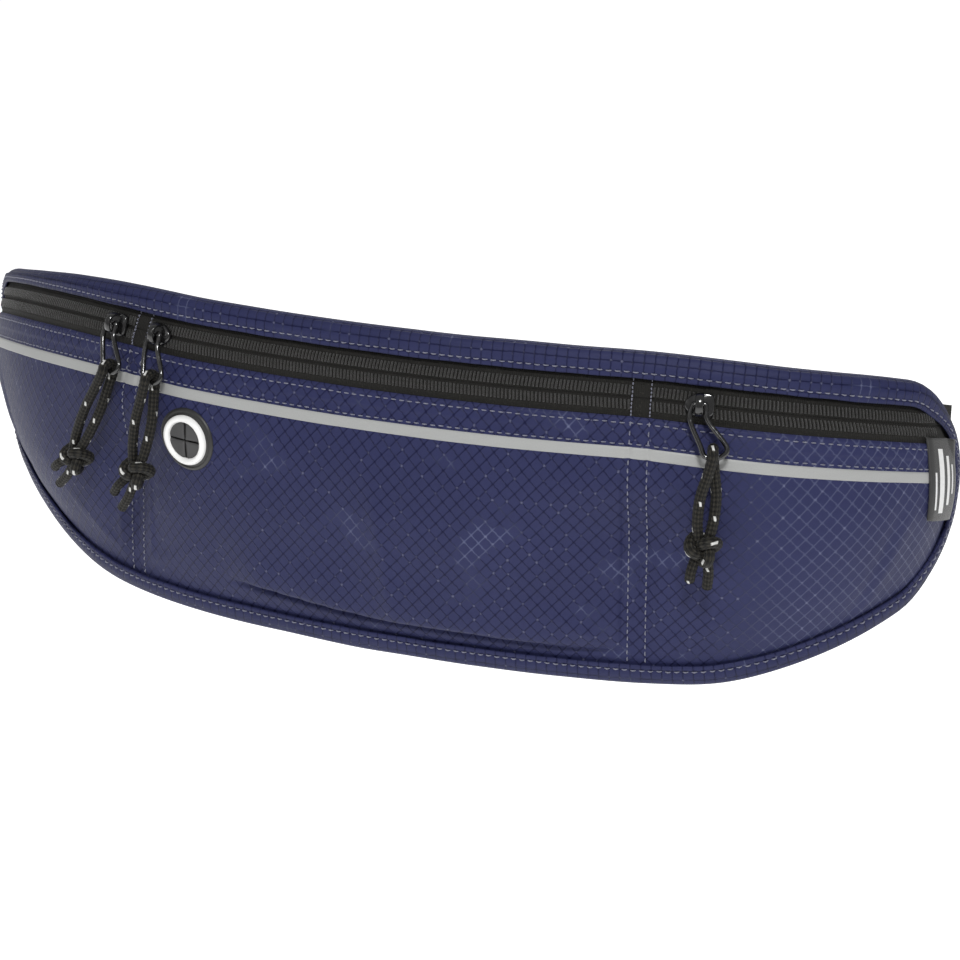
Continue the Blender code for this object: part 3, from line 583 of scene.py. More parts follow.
def air_mesh():
    """Black spacer mesh: rows of small round holes in a knitted face."""
    material, tree, shader = new_material("air_mesh")
    x, y, vector = flat_place(tree)
    pitch = 0.0032
    row_pitch = 0.8 * pitch
    row = math_node(tree, "FLOOR", math_node(tree, "DIVIDE", y, row_pitch))
    shift = math_node(tree, "MULTIPLY", math_node(tree, "MODULO", row, 2.0), 0.5 * pitch)
    along = math_node(tree, "ADD", x, shift)
    share_x = math_node(tree, "FRACT", math_node(tree, "DIVIDE", along, pitch))
    share_y = math_node(tree, "FRACT", math_node(tree, "DIVIDE", y, row_pitch))
    off_x = math_node(tree, "SUBTRACT", share_x, 0.5)
    off_y = math_node(tree, "SUBTRACT", share_y, 0.5)
    squared = math_node(tree, "MULTIPLY_ADD", off_x, off_x, math_node(tree, "MULTIPLY", off_y, off_y))
    hole = math_node(tree, "SUBTRACT", 1.0, ramp(tree, math_node(tree, "SQRT", squared), 0.20, 0.34))
    knit = weave(tree, x, y, 0.00060)
    slub = noise_node(tree, vector, 500.0, 2.0)
    colour = mix_colour(tree, slub, (0.014, 0.014, 0.016), (0.032, 0.032, 0.036))
    # painted shade: the holes are painted near black for the shade inside them
    colour = mix_colour(tree, hole, colour, (0.003, 0.003, 0.003))
    tree.links.new(colour, shader.inputs["Base Color"])
    height = math_node(tree, "MULTIPLY_ADD", hole, -1.0, math_node(tree, "MULTIPLY", knit, 0.2))
    tree.links.new(bump(tree, height, 0.0006), shader.inputs["Normal"])
    shader.inputs["Roughness"].default_value = 0.75
    shader.inputs["Sheen Weight"].default_value = 0.2
    return material


def webbing():
    """Black elastic webbing: a ribbed weave that runs across, with two selvedge lines."""
    material, tree, shader = new_material("webbing")
    x, y, vector = flat_place(tree)
    ribs = math_node(tree, "SINE", math_node(tree, "MULTIPLY", x, 2.0 * math.pi / 0.00110))
    threads = math_node(tree, "SINE", math_node(tree, "MULTIPLY", y, 2.0 * math.pi / 0.00085))
    knit = math_node(tree, "MULTIPLY", ribs, threads)
    slub = noise_node(tree, vector, 450.0, 2.0, 0.6)
    edge = ramp(tree, math_node(tree, "ABSOLUTE", y), 0.0100, 0.0108)
    shade = math_node(tree, "MULTIPLY_ADD", knit, 0.25, math_node(tree, "MULTIPLY_ADD", slub, 0.5, 0.2))
    colour = mix_colour(tree, shade, (0.008, 0.008, 0.009), (0.036, 0.036, 0.039))
    tree.links.new(colour, shader.inputs["Base Color"])
    height = math_node(tree, "MULTIPLY_ADD", knit, 0.5, math_node(tree, "MULTIPLY", ribs, 0.5))
    height = math_node(tree, "MULTIPLY_ADD", edge, 0.6, height)
    tree.links.new(bump(tree, height, 0.00028), shader.inputs["Normal"])
    shader.inputs["Roughness"].default_value = 0.68
    shader.inputs["Sheen Weight"].default_value = 0.2
    return material


def label_cloth():
    """Black woven satin label with plain pale bars in place of lettering."""
    material, tree, shader = new_material("label")
    x, y, vector = flat_place(tree)
    grain = noise_node(tree, vector, 1400.0, 2.0, 0.6, (1.0, 0.3, 1.0))
    colour = mix_colour(tree, grain, (0.006, 0.006, 0.006), (0.020, 0.020, 0.020))
    tree.links.new(colour, shader.inputs["Base Color"])
    height = weave(tree, x, y, 0.00035)
    tree.links.new(bump(tree, height, 0.00006), shader.inputs["Normal"])
    shader.inputs["Roughness"].default_value = 0.45
    shader.inputs["Sheen Weight"].default_value = 0.15
    return material


# ---------------------------------------------------------------- making pieces


def make_piece(name, vertices, faces, material, flat=None, body="bag", slot=None, replaces=()):
    """A smooth mesh piece that rides a body, with its flat coordinates stored on its points."""
    mesh = bpy.data.meshes.new(name)
    mesh.from_pydata([tuple(v) for v in vertices], [], faces)
    mesh.materials.append(material)
    mesh.shade_smooth()
    if flat is not None:
        layer = mesh.attributes.new("flat", "FLOAT_VECTOR", "POINT")
        layer.data.foreach_set("vector", np.array(flat, np.float32).ravel())
    piece = bpy.data.objects.new(name, mesh)
    bpy.context.scene.collection.objects.link(piece)
    if body is not None:
        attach(piece, body)
    if replaces:
        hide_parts(*replaces)
    return piece


def apply_modifiers(piece):
    """Bake a piece's modifiers into its mesh."""
    bpy.context.view_layer.update()
    shown = piece.evaluated_get(bpy.context.evaluated_depsgraph_get())
    mesh = bpy.data.meshes.new_from_object(shown, preserve_all_data_layers=True,
                                           depsgraph=bpy.context.evaluated_depsgraph_get())
    piece.modifiers.clear()
    piece.data = mesh
    return piece


def grid_faces(columns, rows, wrap_columns=False, wrap_rows=False):
    """Faces of a grid whose vertices run row by row within each column."""
    faces = []
    for i in range(columns if wrap_columns else columns - 1):
        ahead = (i + 1) % columns
        for j in range(rows if wrap_rows else rows - 1):
            up = (j + 1) % rows
            faces.append((i * rows + j, ahead * rows + j, ahead * rows + up, i * rows + up))
    return faces


def cloth(name, columns, rows, put, material, thickness=0.0, **piece):
    """A sheet whose point at (column value, row value) is put(a, b) -> (world point, flat x, flat y)."""
    vertices = []
    flat = []
    for a in columns:
        for b in rows:
            point, flat_x, flat_y = put(a, b)
            vertices.append(point)
            flat.append((flat_x, flat_y, 0.0))
    made = make_piece(name, vertices, grid_faces(len(columns), len(rows)), material, flat, **piece)
    if thickness > 0.0:
        shell = made.modifiers.new("thickness", "SOLIDIFY")
        shell.thickness = thickness
        shell.offset = 1.0
        apply_modifiers(made)
    return made


def spaced(start, end, pitch):
    """Evenly spaced numbers from start to end, about a pitch apart."""
    count = max(int(math.ceil(abs(end - start) / pitch)), 1)
    return [start + (end - start) * i / count for i in range(count + 1)]


def columns_to(reach, pitch=0.0016):
    """Arc lengths from -reach to reach, closer together at the rounded ends."""
    inner = spaced(-END_START, END_START, pitch)
    turns = 14
    for i in range(1, turns + 1):
        turn = math.sin(0.5 * math.pi * i / turns)
        inner.append(END_START + (reach - END_START) * turn)
        inner.insert(0, -END_START - (reach - END_START) * turn)
    return inner


def smooth_path(points, count, cyclic=False):
    """Catmull-Rom curve through points, with count steps on each stretch."""
    points = [Vector(point) for point in points]
    total = len(points)
    stretches = total if cyclic else total - 1
    path = []
    for i in range(stretches):
        before = points[i - 1] if cyclic or i > 0 else points[0] * 2.0 - points[1]
        here = points[i]
        after = points[(i + 1) % total]
        if cyclic or i + 2 < total:
            beyond = points[(i + 2) % total]
        else:
            beyond = after * 2.0 - here
        for j in range(count):
            t = j / count
            path.append(0.5 * (2.0 * here + (after - before) * t
                               + (2.0 * before - 5.0 * here + 4.0 * after - beyond) * t ** 2
                               + (3.0 * here - before - 3.0 * after + beyond) * t ** 3))
    if not cyclic:
        path.append(points[-1])
    return path


def even_path(points, pitch):
    """The same line with points a pitch apart, and its length."""
    lengths = [0.0]
    for a, b in zip(points, points[1:]):
        lengths.append(lengths[-1] + (b - a).length)
    total = lengths[-1]
    count = max(int(round(total / pitch)), 2)
    made = []
    k = 0
    for i in range(count + 1):
        goal = total * i / count
        while k < len(points) - 2 and lengths[k + 1] < goal:
            k += 1
        share = (goal - lengths[k]) / max(lengths[k + 1] - lengths[k], 1e-9)
        made.append(points[k].lerp(points[k + 1], min(share, 1.0)))
    return made, total


def tube_mesh(points, radius, sides, start_at=0.0, swell=None):
    """Vertices, faces and flat coordinates (length along, share round) of a closed tube with caps."""
    vertices = []
    flat = []
    side = None
    length = start_at
    for i, point in enumerate(points):
        ahead = points[min(i + 1, len(points) - 1)]
        behind = points[max(i - 1, 0)]
        forward = (ahead - behind).normalized()
        if i > 0:
            length += (point - points[i - 1]).length
        if side is None:
            side = forward.orthogonal().normalized()
        side = (side - forward * side.dot(forward)).normalized()
        up = forward.cross(side)
        wide = radius * (swell(i / (len(points) - 1)) if swell else 1.0)
        for j in range(sides + 1):
            turn = 2.0 * math.pi * j / sides
            vertices.append(point + (side * math.cos(turn) + up * math.sin(turn)) * wide)
            flat.append((length, j / sides, 0.0))
    faces = grid_faces(len(points), sides + 1)
    for first, row, order in ((0, points[0], -1), (len(vertices) - sides - 1, points[-1], 1)):
        centre = len(vertices)
        vertices.append(row)
        flat.append((flat[first][0], 0.5, 0.0))
        for j in range(sides):
            trio = (first + j, first + j + 1, centre)
            faces.append(trio if order > 0 else trio[::-1])
    return vertices, faces, flat


def joined(parts):
    """Several (vertices, faces, flat) lists as one."""
    vertices, faces, flat = [], [], []
    for some_vertices, some_faces, some_flat in parts:
        start = len(vertices)
        vertices += some_vertices
        flat += some_flat
        faces += [tuple(start + index for index in face) for face in some_faces]
    return vertices, faces, flat


def stitch_row(matrices, length=0.0021, thick=0.00042):
    """Stitches, each a short thread that arches out of the cloth along its matrix's X."""
    parts = []
    for matrix in matrices:
        points = []
        for i in range(6):
            t = i / 5.0
            lift = math.sin(math.pi * t)
            points.append(matrix @ Vector((length * (t - 0.5), 0.0, thick * (1.15 * lift - 0.55))))
        parts.append(tube_mesh(points, 0.5 * thick, 6, swell=lambda t: 0.7 + 0.5 * math.sin(math.pi * t)))
    return joined(parts)


def stitches_on(name, line, depth, above, pitch, material, flip=False, **piece):
    """Stitches on the bag along a line of (s, z) places."""
    even, total = even_path([Vector((s, z, 0.0)) for s, z in line], pitch)
    matrices = []
    for i, (a, b) in enumerate(zip(even, even[1:])):
        middle = 0.5 * (a + b)
        frame = frame_at(middle.x, middle.y, depth, -above if flip else above)
        turn = math.atan2(b.y - a.y, b.x - a.x) + 0.10 * noise.noise(Vector((i * 2.3, 5.1, total * 90.0)))
        slip = 0.00016 * noise.noise(Vector((i * 1.7, total * 50.0, 0.3)))
        place_it = Matrix.Rotation(turn, 4, "Z") @ Matrix.Translation((0.0, slip, 0.0))
        over = Matrix.Rotation(math.pi, 4, "X") if flip else Matrix.Identity(4)
        matrices.append(frame @ place_it @ over)
    vertices, faces, flat = stitch_row(matrices, 0.60 * pitch)
    return make_piece(name, vertices, faces, material, flat, **piece)


# ---------------------------------------------------------------- front of the bag


def finer_near_seams(columns):
    """Columns with extra ones where the dividers' stitches pull grooves."""
    extra = []
    for seam in (LEFT_SEAM, RIGHT_SEAM):
        lean = 0.05 * LEFT_SEAM_LEAN if seam < 0.0 else 0.0
        extra += spaced(seam - lean - 0.0075, seam + lean + 0.0065, 0.0005)
    kept = [s for s in columns if all(abs(s - e) > 0.0003 for e in extra)]
    return sorted(kept + extra)


def build_front(materials):
    """Front cloth of the three pockets, in one piece as it is cut, sewn down at the dividers."""

    def put(s, share):
        low = outline(s, 0.0016)[0]
        high = top_line(s) - STRIP_BOTTOM + 0.0010
        z = low + (high - low) * share
        return place(s, z, cloth_depth(s, z)), s, z

    rows = [0.5 * (a + b) for a, b in zip(spaced(0.0, 1.0, 0.011), spaced(0.0, 1.0, 0.011))]
    cloth("front_cloth", finer_near_seams(columns_to(HALF_LENGTH - 0.0045)), rows, put, materials["ripstop"],
          slot="ripstop",
          replaces=("front_left", "front_centre", "front_right", "divider_left", "divider_right"))


def hem_depth(s, z):
    """Depth of the zip facing: a folded hem along the zip, pressed down by its stitches."""
    down = top_line(s) - ZIP_BOTTOM - z
    double = 0.00040 * (1.0 - smooth((down - 0.0050) / 0.0008))
    roll = 0.00060 * (1.0 - smooth(down / 0.0006))
    pressed = 0.00022 * hump(down - 0.0019, 0.0006) + 0.00018 * hump(down - 0.0085, 0.0006)
    held = smooth(puff(s, z) / 0.0020)
    relief = 0.25 * wrinkles(s, z) * held - seam_groove(s, z) * held
    return puff(s, z) + SKIN + double - roll - pressed + relief


def build_facing(materials):
    """Ripstop band between the zip and the reflective strip."""

    def put(s, z_down):
        z = top_line(s) - ZIP_BOTTOM - z_down
        return place(s, z, hem_depth(s, z)), s, z

    width = STRIP_TOP - ZIP_BOTTOM + 0.0008
    rows = [0.0, 0.0001, 0.0003, 0.0006] + spaced(0.0010, width, 0.0006)
    cloth("zip_facing", finer_near_seams(columns_to(HALF_LENGTH - 0.0055)), rows, put, materials["ripstop"],
          slot="ripstop", replaces=("zip_facing",))


def strip_depth(s, z):
    down = top_line(s) - STRIP_TOP - z
    half = 0.5 * (STRIP_BOTTOM - STRIP_TOP)
    edge = 0.00030 * smooth((half - abs(down - half)) / 0.0004)
    held = smooth(puff(s, z) / 0.0020)
    return puff(s, z) + SKIN + edge + 0.15 * wrinkles(s, z) * held - 1.1 * seam_groove(s, z) * held


def build_strip(materials):
    """Reflective strip with turned edges."""
    width = STRIP_BOTTOM - STRIP_TOP

    def put(s, share):
        z = top_line(s) - STRIP_TOP - width * share
        return place(s, z, strip_depth(s, z)), s, z

    rows = [0.0, 0.02, 0.05, 0.09, 0.15] + spaced(0.22, 0.78, 0.14) + [0.85, 0.91, 0.95, 0.98, 1.0]
    cloth("reflective_strip", finer_near_seams(columns_to(HALF_LENGTH - 0.0055)), rows, put,
          materials["reflective"], slot="reflective", replaces=("reflective_strip",))


def zip_depth(s, z):
    """Depth of the closed zip: two soft ridges over the coil and a groove where the tapes meet."""
    off = z - (top_line(s) - ZIP_CENTRE)
    ridge = 0.00045 * smooth((0.0050 - abs(off)) / 0.0011)
    groove = 0.00055 * hump(off, 0.00028)
    held = smooth(puff(s, z) / 0.0010)
    return puff(s, z) + (ridge - groove) * held


def build_zip(materials):
    """Zip tapes, the coil's ribs that show through them, and the stops beside the dividers."""
    high = ZIP_CENTRE - 0.0074
    low = ZIP_BOTTOM + 0.0012

    def put(s, down):
        z = top_line(s) - down
        return place(s, z, zip_depth(s, z)), s, z - top_line(s) + ZIP_CENTRE

    groove = (0.0001, 0.0003, 0.0005, 0.0008)
    middle = [ZIP_CENTRE - off for off in reversed(groove)] + [ZIP_CENTRE + off for off in groove]
    rows = spaced(high, ZIP_CENTRE - 0.0012, 0.0005) + middle + spaced(ZIP_CENTRE + 0.0012, low, 0.0005)
    cloth("zip_tape", columns_to(HALF_LENGTH - 0.0070), rows, put, materials["zip_tape"],
          slot="zip_tape", replaces=("zip_tape_upper", "zip_tape_lower"))
    lean = seam_at(0.044, LEFT_SEAM)
    gap = 0.5 * SEAM_WIDTH + 0.0006
    runs = {
        "left": (-0.1985, lean - gap),
        "centre": (lean + gap, RIGHT_SEAM - gap),
        "right": (RIGHT_SEAM + gap, 0.1985),
    }
    for name, (start, end) in runs.items():
        parts = []
        for s in spaced(start, end, 0.00125):
            for side in (-1.0, 1.0):
                frame = frame_at(s, top_line(s) - ZIP_CENTRE + side * 0.00215, puff, 0.00056)
                points = []
                for i in range(5):
                    t = i / 4.0
                    arch = 0.00016 * math.sin(math.pi * t)
                    points.append(frame @ Vector((0.0003 * side * (t - 0.5), 0.0031 * (t - 0.5), arch)))
                parts.append(tube_mesh(points, 0.00036, 5))
        vertices, faces, flat = joined(parts)
        make_piece("coil_ribs_" + name, vertices, faces, materials["coil"], flat,
                   slot="zip_coil", replaces=("zip_coil_" + name,))


def build_seams(materials):
    """Stitch rows along the zip, above the strip, down the dividers and across the zip's ends."""
    thread = materials["thread"]
    along = spaced(-HALF_LENGTH + 0.0085, HALF_LENGTH - 0.0085, 0.004)
    stitches_on("stitches_zip", [(s, top_line(s) - ZIP_BOTTOM - 0.0019) for s in along],
                hem_depth, 0.00010, 0.0028, thread, slot="thread")
    stitches_on("stitches_strip", [(s, top_line(s) - STRIP_TOP + 0.0009) for s in along],
                hem_depth, 0.00008, 0.0028, thread, slot="thread")
    number = 0
    for seam in (LEFT_SEAM, RIGHT_SEAM):
        for side in (-0.5, 0.5):
            number += 1
            offset = side * (SEAM_WIDTH - 0.0006)
            low = bottom_line(seam) + BINDING_WIDTH
            high = top_line(seam) - STRIP_BOTTOM
            line = [(seam_at(z, seam) + offset, z) for z in spaced(high, low, 0.004)]
            stitches_on("stitches_divider_%d" % number, line, cloth_depth, 0.00008, 0.0026, thread,
                        slot="thread")
            high = top_line(seam) - ZIP_BOTTOM - 0.0006
            low = top_line(seam) - STRIP_TOP
            line = [(seam_at(z, seam) + offset, z) for z in spaced(high, low, 0.004)]
            stitches_on("stitches_band_%d" % number, line, hem_depth, 0.00008, 0.0026, thread, slot="thread")
            high = top_line(seam) - BINDING_WIDTH - 0.0002
            low = top_line(seam) - ZIP_BOTTOM
            line = [(seam_at(z, seam) + offset, z) for z in spaced(high, low, 0.004)]
            stitches_on("zip_tack_%d" % number, line, zip_depth, 0.00022, 0.0012, thread,
                        slot="thread", replaces=("zip_stop_%d" % number,))


# ---------------------------------------------------------------- binding


def loop_places(pitch):
    """Closed line of (s, z) places on the outline, clockwise from the left end of the top."""
    along = columns_to(HALF_LENGTH * 0.9998, pitch)
    return [(s, outline(s)[1]) for s in along] + [(s, outline(s)[0]) for s in reversed(along)]


def inward_frames(loop):
    """For each place of the loop: the inward direction and the length so far."""
    frames = []
    length = 0.0
    for i, place_here in enumerate(loop):
        before = Vector(loop[i - 1])
        after = Vector(loop[(i + 1) % len(loop)])
        run = (after - before).normalized()
        if i > 0:
            length += (Vector(place_here) - before).length
        frames.append((Vector((run.y, -run.x)), length))
    return frames


def binding_width(s, z):
    """Width of the binding, less at the ends and along the trimmed left of the top."""
    width = BINDING_WIDTH + (BINDING_END_WIDTH - BINDING_WIDTH) * smooth((abs(s) - 0.200) / 0.016)
    middle = 0.5 * (top_line(s) + bottom_line(s))
    if z > middle:
        width = max(width - top_trim(s), 0.5 * BINDING_WIDTH)
    return width


BINDING_BACK = BACK_FACE - 0.0010
BINDING_FRONT = 0.0016
BINDING_PROUD = 0.0024


def build_binding(materials):
    """Ripstop tape folded over the edge, a little uneven, pressed down by its stitches."""
    loop = loop_places(0.0016)
    frames = inward_frames(loop)
    middle = 0.5 * (BINDING_BACK + BINDING_FRONT)
    half = 0.5 * (BINDING_FRONT - BINDING_BACK)
    vertices = []
    flat = []
    for (s, z), (inward, length) in zip(loop, frames):
        width = binding_width(s, z) + 0.00022 * noise.noise(Vector((length * 90.0, 1.3, 0.0)))
        ripple = 0.00016 * noise.noise(Vector((length * 140.0, 4.9, 0.0)))
        sag = 0.00030 * noise.noise(Vector((length * 35.0, 9.9, 0.0)))
        stitch = width - 0.0020
        profile = [
            (width, BINDING_BACK + 0.0005),
            (width, BINDING_BACK + 0.0001),
            (width - 0.0004, BINDING_BACK - 0.0001),
            (stitch, BINDING_BACK + 0.00025),
            (0.5 * stitch, BINDING_BACK - 0.0001),
        ]
        turns = 9
        for i in range(turns + 1):
            turn = math.pi * i / turns
            profile.append((0.0026 * (1.0 - math.sin(turn)) + sag * math.sin(turn),
                            middle - half * math.cos(turn)))
        lift = BINDING_PROUD - BINDING_FRONT
        profile += [
            (0.45 * stitch, BINDING_FRONT + 0.35 * lift + ripple),
            (0.75 * stitch, BINDING_FRONT + 0.62 * lift + ripple),
            (stitch - 0.0005, BINDING_FRONT + 0.72 * lift),
            (stitch, BINDING_FRONT + 0.55 * lift),
            (stitch + 0.0005, BINDING_FRONT + 0.80 * lift),
            (width - 0.0006, BINDING_PROUD + ripple),
            (width - 0.0002, BINDING_PROUD - 0.0001 + ripple),
            (width, BINDING_PROUD - 0.0004),
            (width - 0.0002, BINDING_PROUD - 0.0010),
        ]
        across = 0.0
        last = None
        for w, depth in profile:
            if last is not None:
                across += math.hypot(w - last[0], depth - last[1])
            last = (w, depth)
            vertices.append(place(s + inward.x * w, z + inward.y * w, depth))
            flat.append((length, across, 0.0))
    rows = len(vertices) // len(loop)
    faces = grid_faces(len(loop), rows, wrap_columns=True)
    make_piece("edge_binding", vertices, faces, materials["ripstop_tape"], flat,
               slot="ripstop", replaces=("edge_binding",))
    line = []
    for (s, z), (inward, _) in zip(loop, frames):
        w = binding_width(s, z) - 0.0020
        line.append((s + inward.x * w, z + inward.y * w))
    lift = BINDING_FRONT + 0.55 * (BINDING_PROUD - BINDING_FRONT)
    stitches_on("stitches_binding_front", line + line[:1], lambda s, z: lift, 0.00016, 0.0029,
                materials["thread"], slot="thread")
    stitches_on("stitches_binding_back", line + line[:1], lambda s, z: BINDING_BACK + 0.00025,
                0.00016, 0.0029, materials["thread"], flip=True, slot="thread")


def build_back(materials):
    """Padded spacer mesh against the body, quilted by two long seams."""

    def depth_at(s, z):
        low, high = outline(s, 0.0016)
        middle = 0.5 * (low + high)
        half = max(0.5 * (high - low), 0.001)
        across = (z - middle) / half
        swell = 0.0011 * max(1.0 - across ** 4, 0.0) * smooth((HALF_LENGTH - 0.004 - abs(s)) / 0.02)
        channel = 0.0009 * (hump(abs(s) - 0.070, 0.0013))
        return BACK_FACE - 0.0004 - swell + channel + 0.5 * wrinkles(s, z)

    def put(s, share):
        low, high = outline(s, 0.0020)
        z = low + (high - low) * share
        return place(s, z, depth_at(s, z)), s, z

    columns = columns_to(HALF_LENGTH - 0.0034, 0.0022)
    extra = [side * (0.070 + off) for side in (-1.0, 1.0) for off in spaced(-0.003, 0.003, 0.0005)]
    columns = sorted([s for s in columns if all(abs(s - e) > 0.0003 for e in extra)] + extra)
    back = cloth("back_pad", columns, spaced(1.0, 0.0, 0.025), put, materials["air_mesh"],
                 slot="air_mesh", replaces=("back_mesh", "back_foam", "lining"))
    for name, s in (("left", -0.070), ("right", 0.070)):
        low, high = outline(s, BINDING_WIDTH)
        stitches_on("stitches_back_" + name, [(s, z) for z in spaced(low, high, 0.004)], depth_at, 0.0002,
                    0.0029, materials["black_thread"], flip=True, slot="air_mesh")


# ---------------------------------------------------------------- port and label


def revolve(name, s, z, profile, material, sides=72, **piece):
    """A closed ring on the front; the profile gives radius and height above the cloth's CAD surface."""
    frame = frame_at(s, z, puff)
    vertices = []
    flat = []
    for i in range(sides):
        turn = 2.0 * math.pi * i / sides
        for radius, lift in profile:
            at_s = s + radius * math.cos(turn)
            at_z = z + radius * math.sin(turn)
            sunk = place(at_s, at_z, puff(at_s, at_z))
            vertices.append(sunk + frame.col[2].to_3d() * (SKIN + lift))
            flat.append((radius * math.cos(turn), radius * math.sin(turn), 0.0))
    faces = grid_faces(sides, len(profile), wrap_columns=True, wrap_rows=True)
    return make_piece(name, vertices, faces, material, flat, **piece)


def rounded(profile, count=3):
    """A closed profile with its corners softened."""
    points = [Vector((r, h, 0.0)) for r, h in profile]
    return [(p.x, p.y) for p in smooth_path(points, count, cyclic=True)]


def build_port(materials):
    """Cable port: black flange, white ring and a rubber membrane cut into four petals."""
    flange = [(0.0065, -0.0004), (0.0085, -0.0004), (0.0108, -0.0003), (0.01105, 0.0001), (0.0107, 0.00060),
              (0.0100, 0.0008), (0.0096, 0.00055), (0.0092, 0.0008), (0.0084, 0.0010), (0.0065, 0.0010)]
    revolve("port_flange", PORT_S, PORT_Z, rounded(flange), materials["flange"], slot="port_flange",
            replaces=("port_flange",))
    ring = [(0.0066, 0.0004), (0.0086, 0.0006), (0.0088, 0.0012), (0.0086, 0.0019), (0.0081, 0.0024),
            (0.0074, 0.0025), (0.0068, 0.0021), (0.0065, 0.0014)]
    revolve("port_ring", PORT_S, PORT_Z, rounded(ring), materials["white"], slot="port_ring",
            replaces=("port_ring",))
    frame = frame_at(PORT_S, PORT_Z, puff, SKIN)
    parts = []
    slit = 0.00026
    for quarter in range(4):
        vertices = []
        flat = []
        rings = 9
        turns = 12
        for i in range(rings + 1):
            radius = 0.00045 + (0.0068 - 0.00045) * i / rings
            for j in range(turns + 1):
                share = j / turns
                edge = min(slit / radius, 0.35 * math.pi)
                turn = 0.5 * math.pi * quarter + edge + (0.5 * math.pi - 2.0 * edge) * share
                near = radius * math.sin(min(share, 1.0 - share) * (0.5 * math.pi - 2.0 * edge))
                rim = 0.00030 * (1.0 - smooth(near / 0.0005))
                lift = 0.0010 + 0.00035 * (1.0 - i / rings) - rim
                vertices.append(frame @ Vector((radius * math.cos(turn), radius * math.sin(turn), lift)))
                flat.append((radius * math.cos(turn), radius * math.sin(turn), 0.0))
        parts.append((vertices, grid_faces(rings + 1, turns + 1), flat))
    vertices, faces, flat = joined(parts)
    petals = make_piece("port_petals", vertices, faces, materials["rubber"], flat, slot="port_rubber",
                        replaces=("port_membrane",))
    shell = petals.modifiers.new("thickness", "SOLIDIFY")
    shell.thickness = 0.0007
    shell.offset = -1.0
    apply_modifiers(petals)
    # painted shade: a near-black disc under the petals stands for the shaded inside of the bag seen through
    # the slits
    hollow_shade = [frame @ Vector((0.0067 * math.cos(t), 0.0067 * math.sin(t), 0.0001))
              for t in spaced(0.0, 2.0 * math.pi * 35.0 / 36.0, 2.0 * math.pi / 36.0)]
    make_piece("port_hollow", hollow_shade, [tuple(range(len(hollow_shade)))], materials["dark"], slot="lining")


LABEL_LEFT = 0.1925
LABEL_WIDTH = 0.0140
LABEL_TOP = 0.0262
LABEL_DROP = 0.0282


def label_point(across, down, lift):
    """A point on the hanging label, whose right side stands off the binding a little."""
    s = LABEL_LEFT + LABEL_WIDTH * across
    z = LABEL_TOP - LABEL_DROP * down - 0.0042 * across
    off = 0.0008 * across * across + 0.0006 * math.sin(math.pi * down) * across
    near = smooth((across) / 0.10)
    base = max(puff(s, z), BINDING_PROUD * smooth((s - 0.200) / 0.006))
    return place(s, z, base + SKIN + 0.0003 + 0.0007 * near + off + lift)


def build_label(materials):
    """Folded woven label with plain bars where the real one has words."""

    def put(across, down):
        return label_point(across, down, 0.0), across * LABEL_WIDTH, down * LABEL_DROP

    cloth("side_label", spaced(0.0, 1.0, 0.06), spaced(1.0, 0.0, 0.03), put, materials["label"], 0.00045,
          slot="label", replaces=("side_label",))
    bars = ((0.30, 0.48, 0.12, 0.90), (0.60, 0.71, 0.20, 0.80), (0.80, 0.86, 0.30, 0.66),
            (0.14, 0.20, 0.40, 0.86))
    for number, (left, right, high, low) in enumerate(bars, 1):

        def put_bar(across, down):
            return label_point(across, down, 0.00052), across * LABEL_WIDTH, down * LABEL_DROP

        cloth("label_bar_%d" % number, spaced(left, right, 0.05), spaced(low, high, 0.03), put_bar,
              materials["label_print"], slot="label")


# ---------------------------------------------------------------- sliders, pulls, cords


def slider_frame(s):
    return frame_at(s, top_line(s) - ZIP_CENTRE, puff, SKIN + 0.0006)


def outline_solid(name, corners, low, high, edge, frame, material, **piece):
    """A flat solid from an outline of (x, y) corners, with rounded upper edges."""
    path = smooth_path([Vector((x, y, 0.0)) for x, y in corners], 5, cyclic=True)
    middle = sum(path, Vector()) / len(path)
    levels = [(low, 0.0), (high - edge, 0.0), (high - 0.6 * edge, 0.18), (high - 0.2 * edge, 0.50),
              (high, 1.0)]
    vertices = []
    flat = []
    for height, share in levels:
        for point in path:
            inward = (middle - point).normalized() * edge * share
            vertices.append(frame @ Vector((point.x + inward.x, point.y + inward.y, height)))
            flat.append((point.x, point.y, 0.0))
    faces = grid_faces(len(levels), len(path), wrap_rows=True)
    faces.append(tuple(range(len(path))))
    faces.append(tuple(reversed(range(len(vertices) - len(path), len(vertices)))))
    return make_piece(name, vertices, faces, material, flat, **piece)


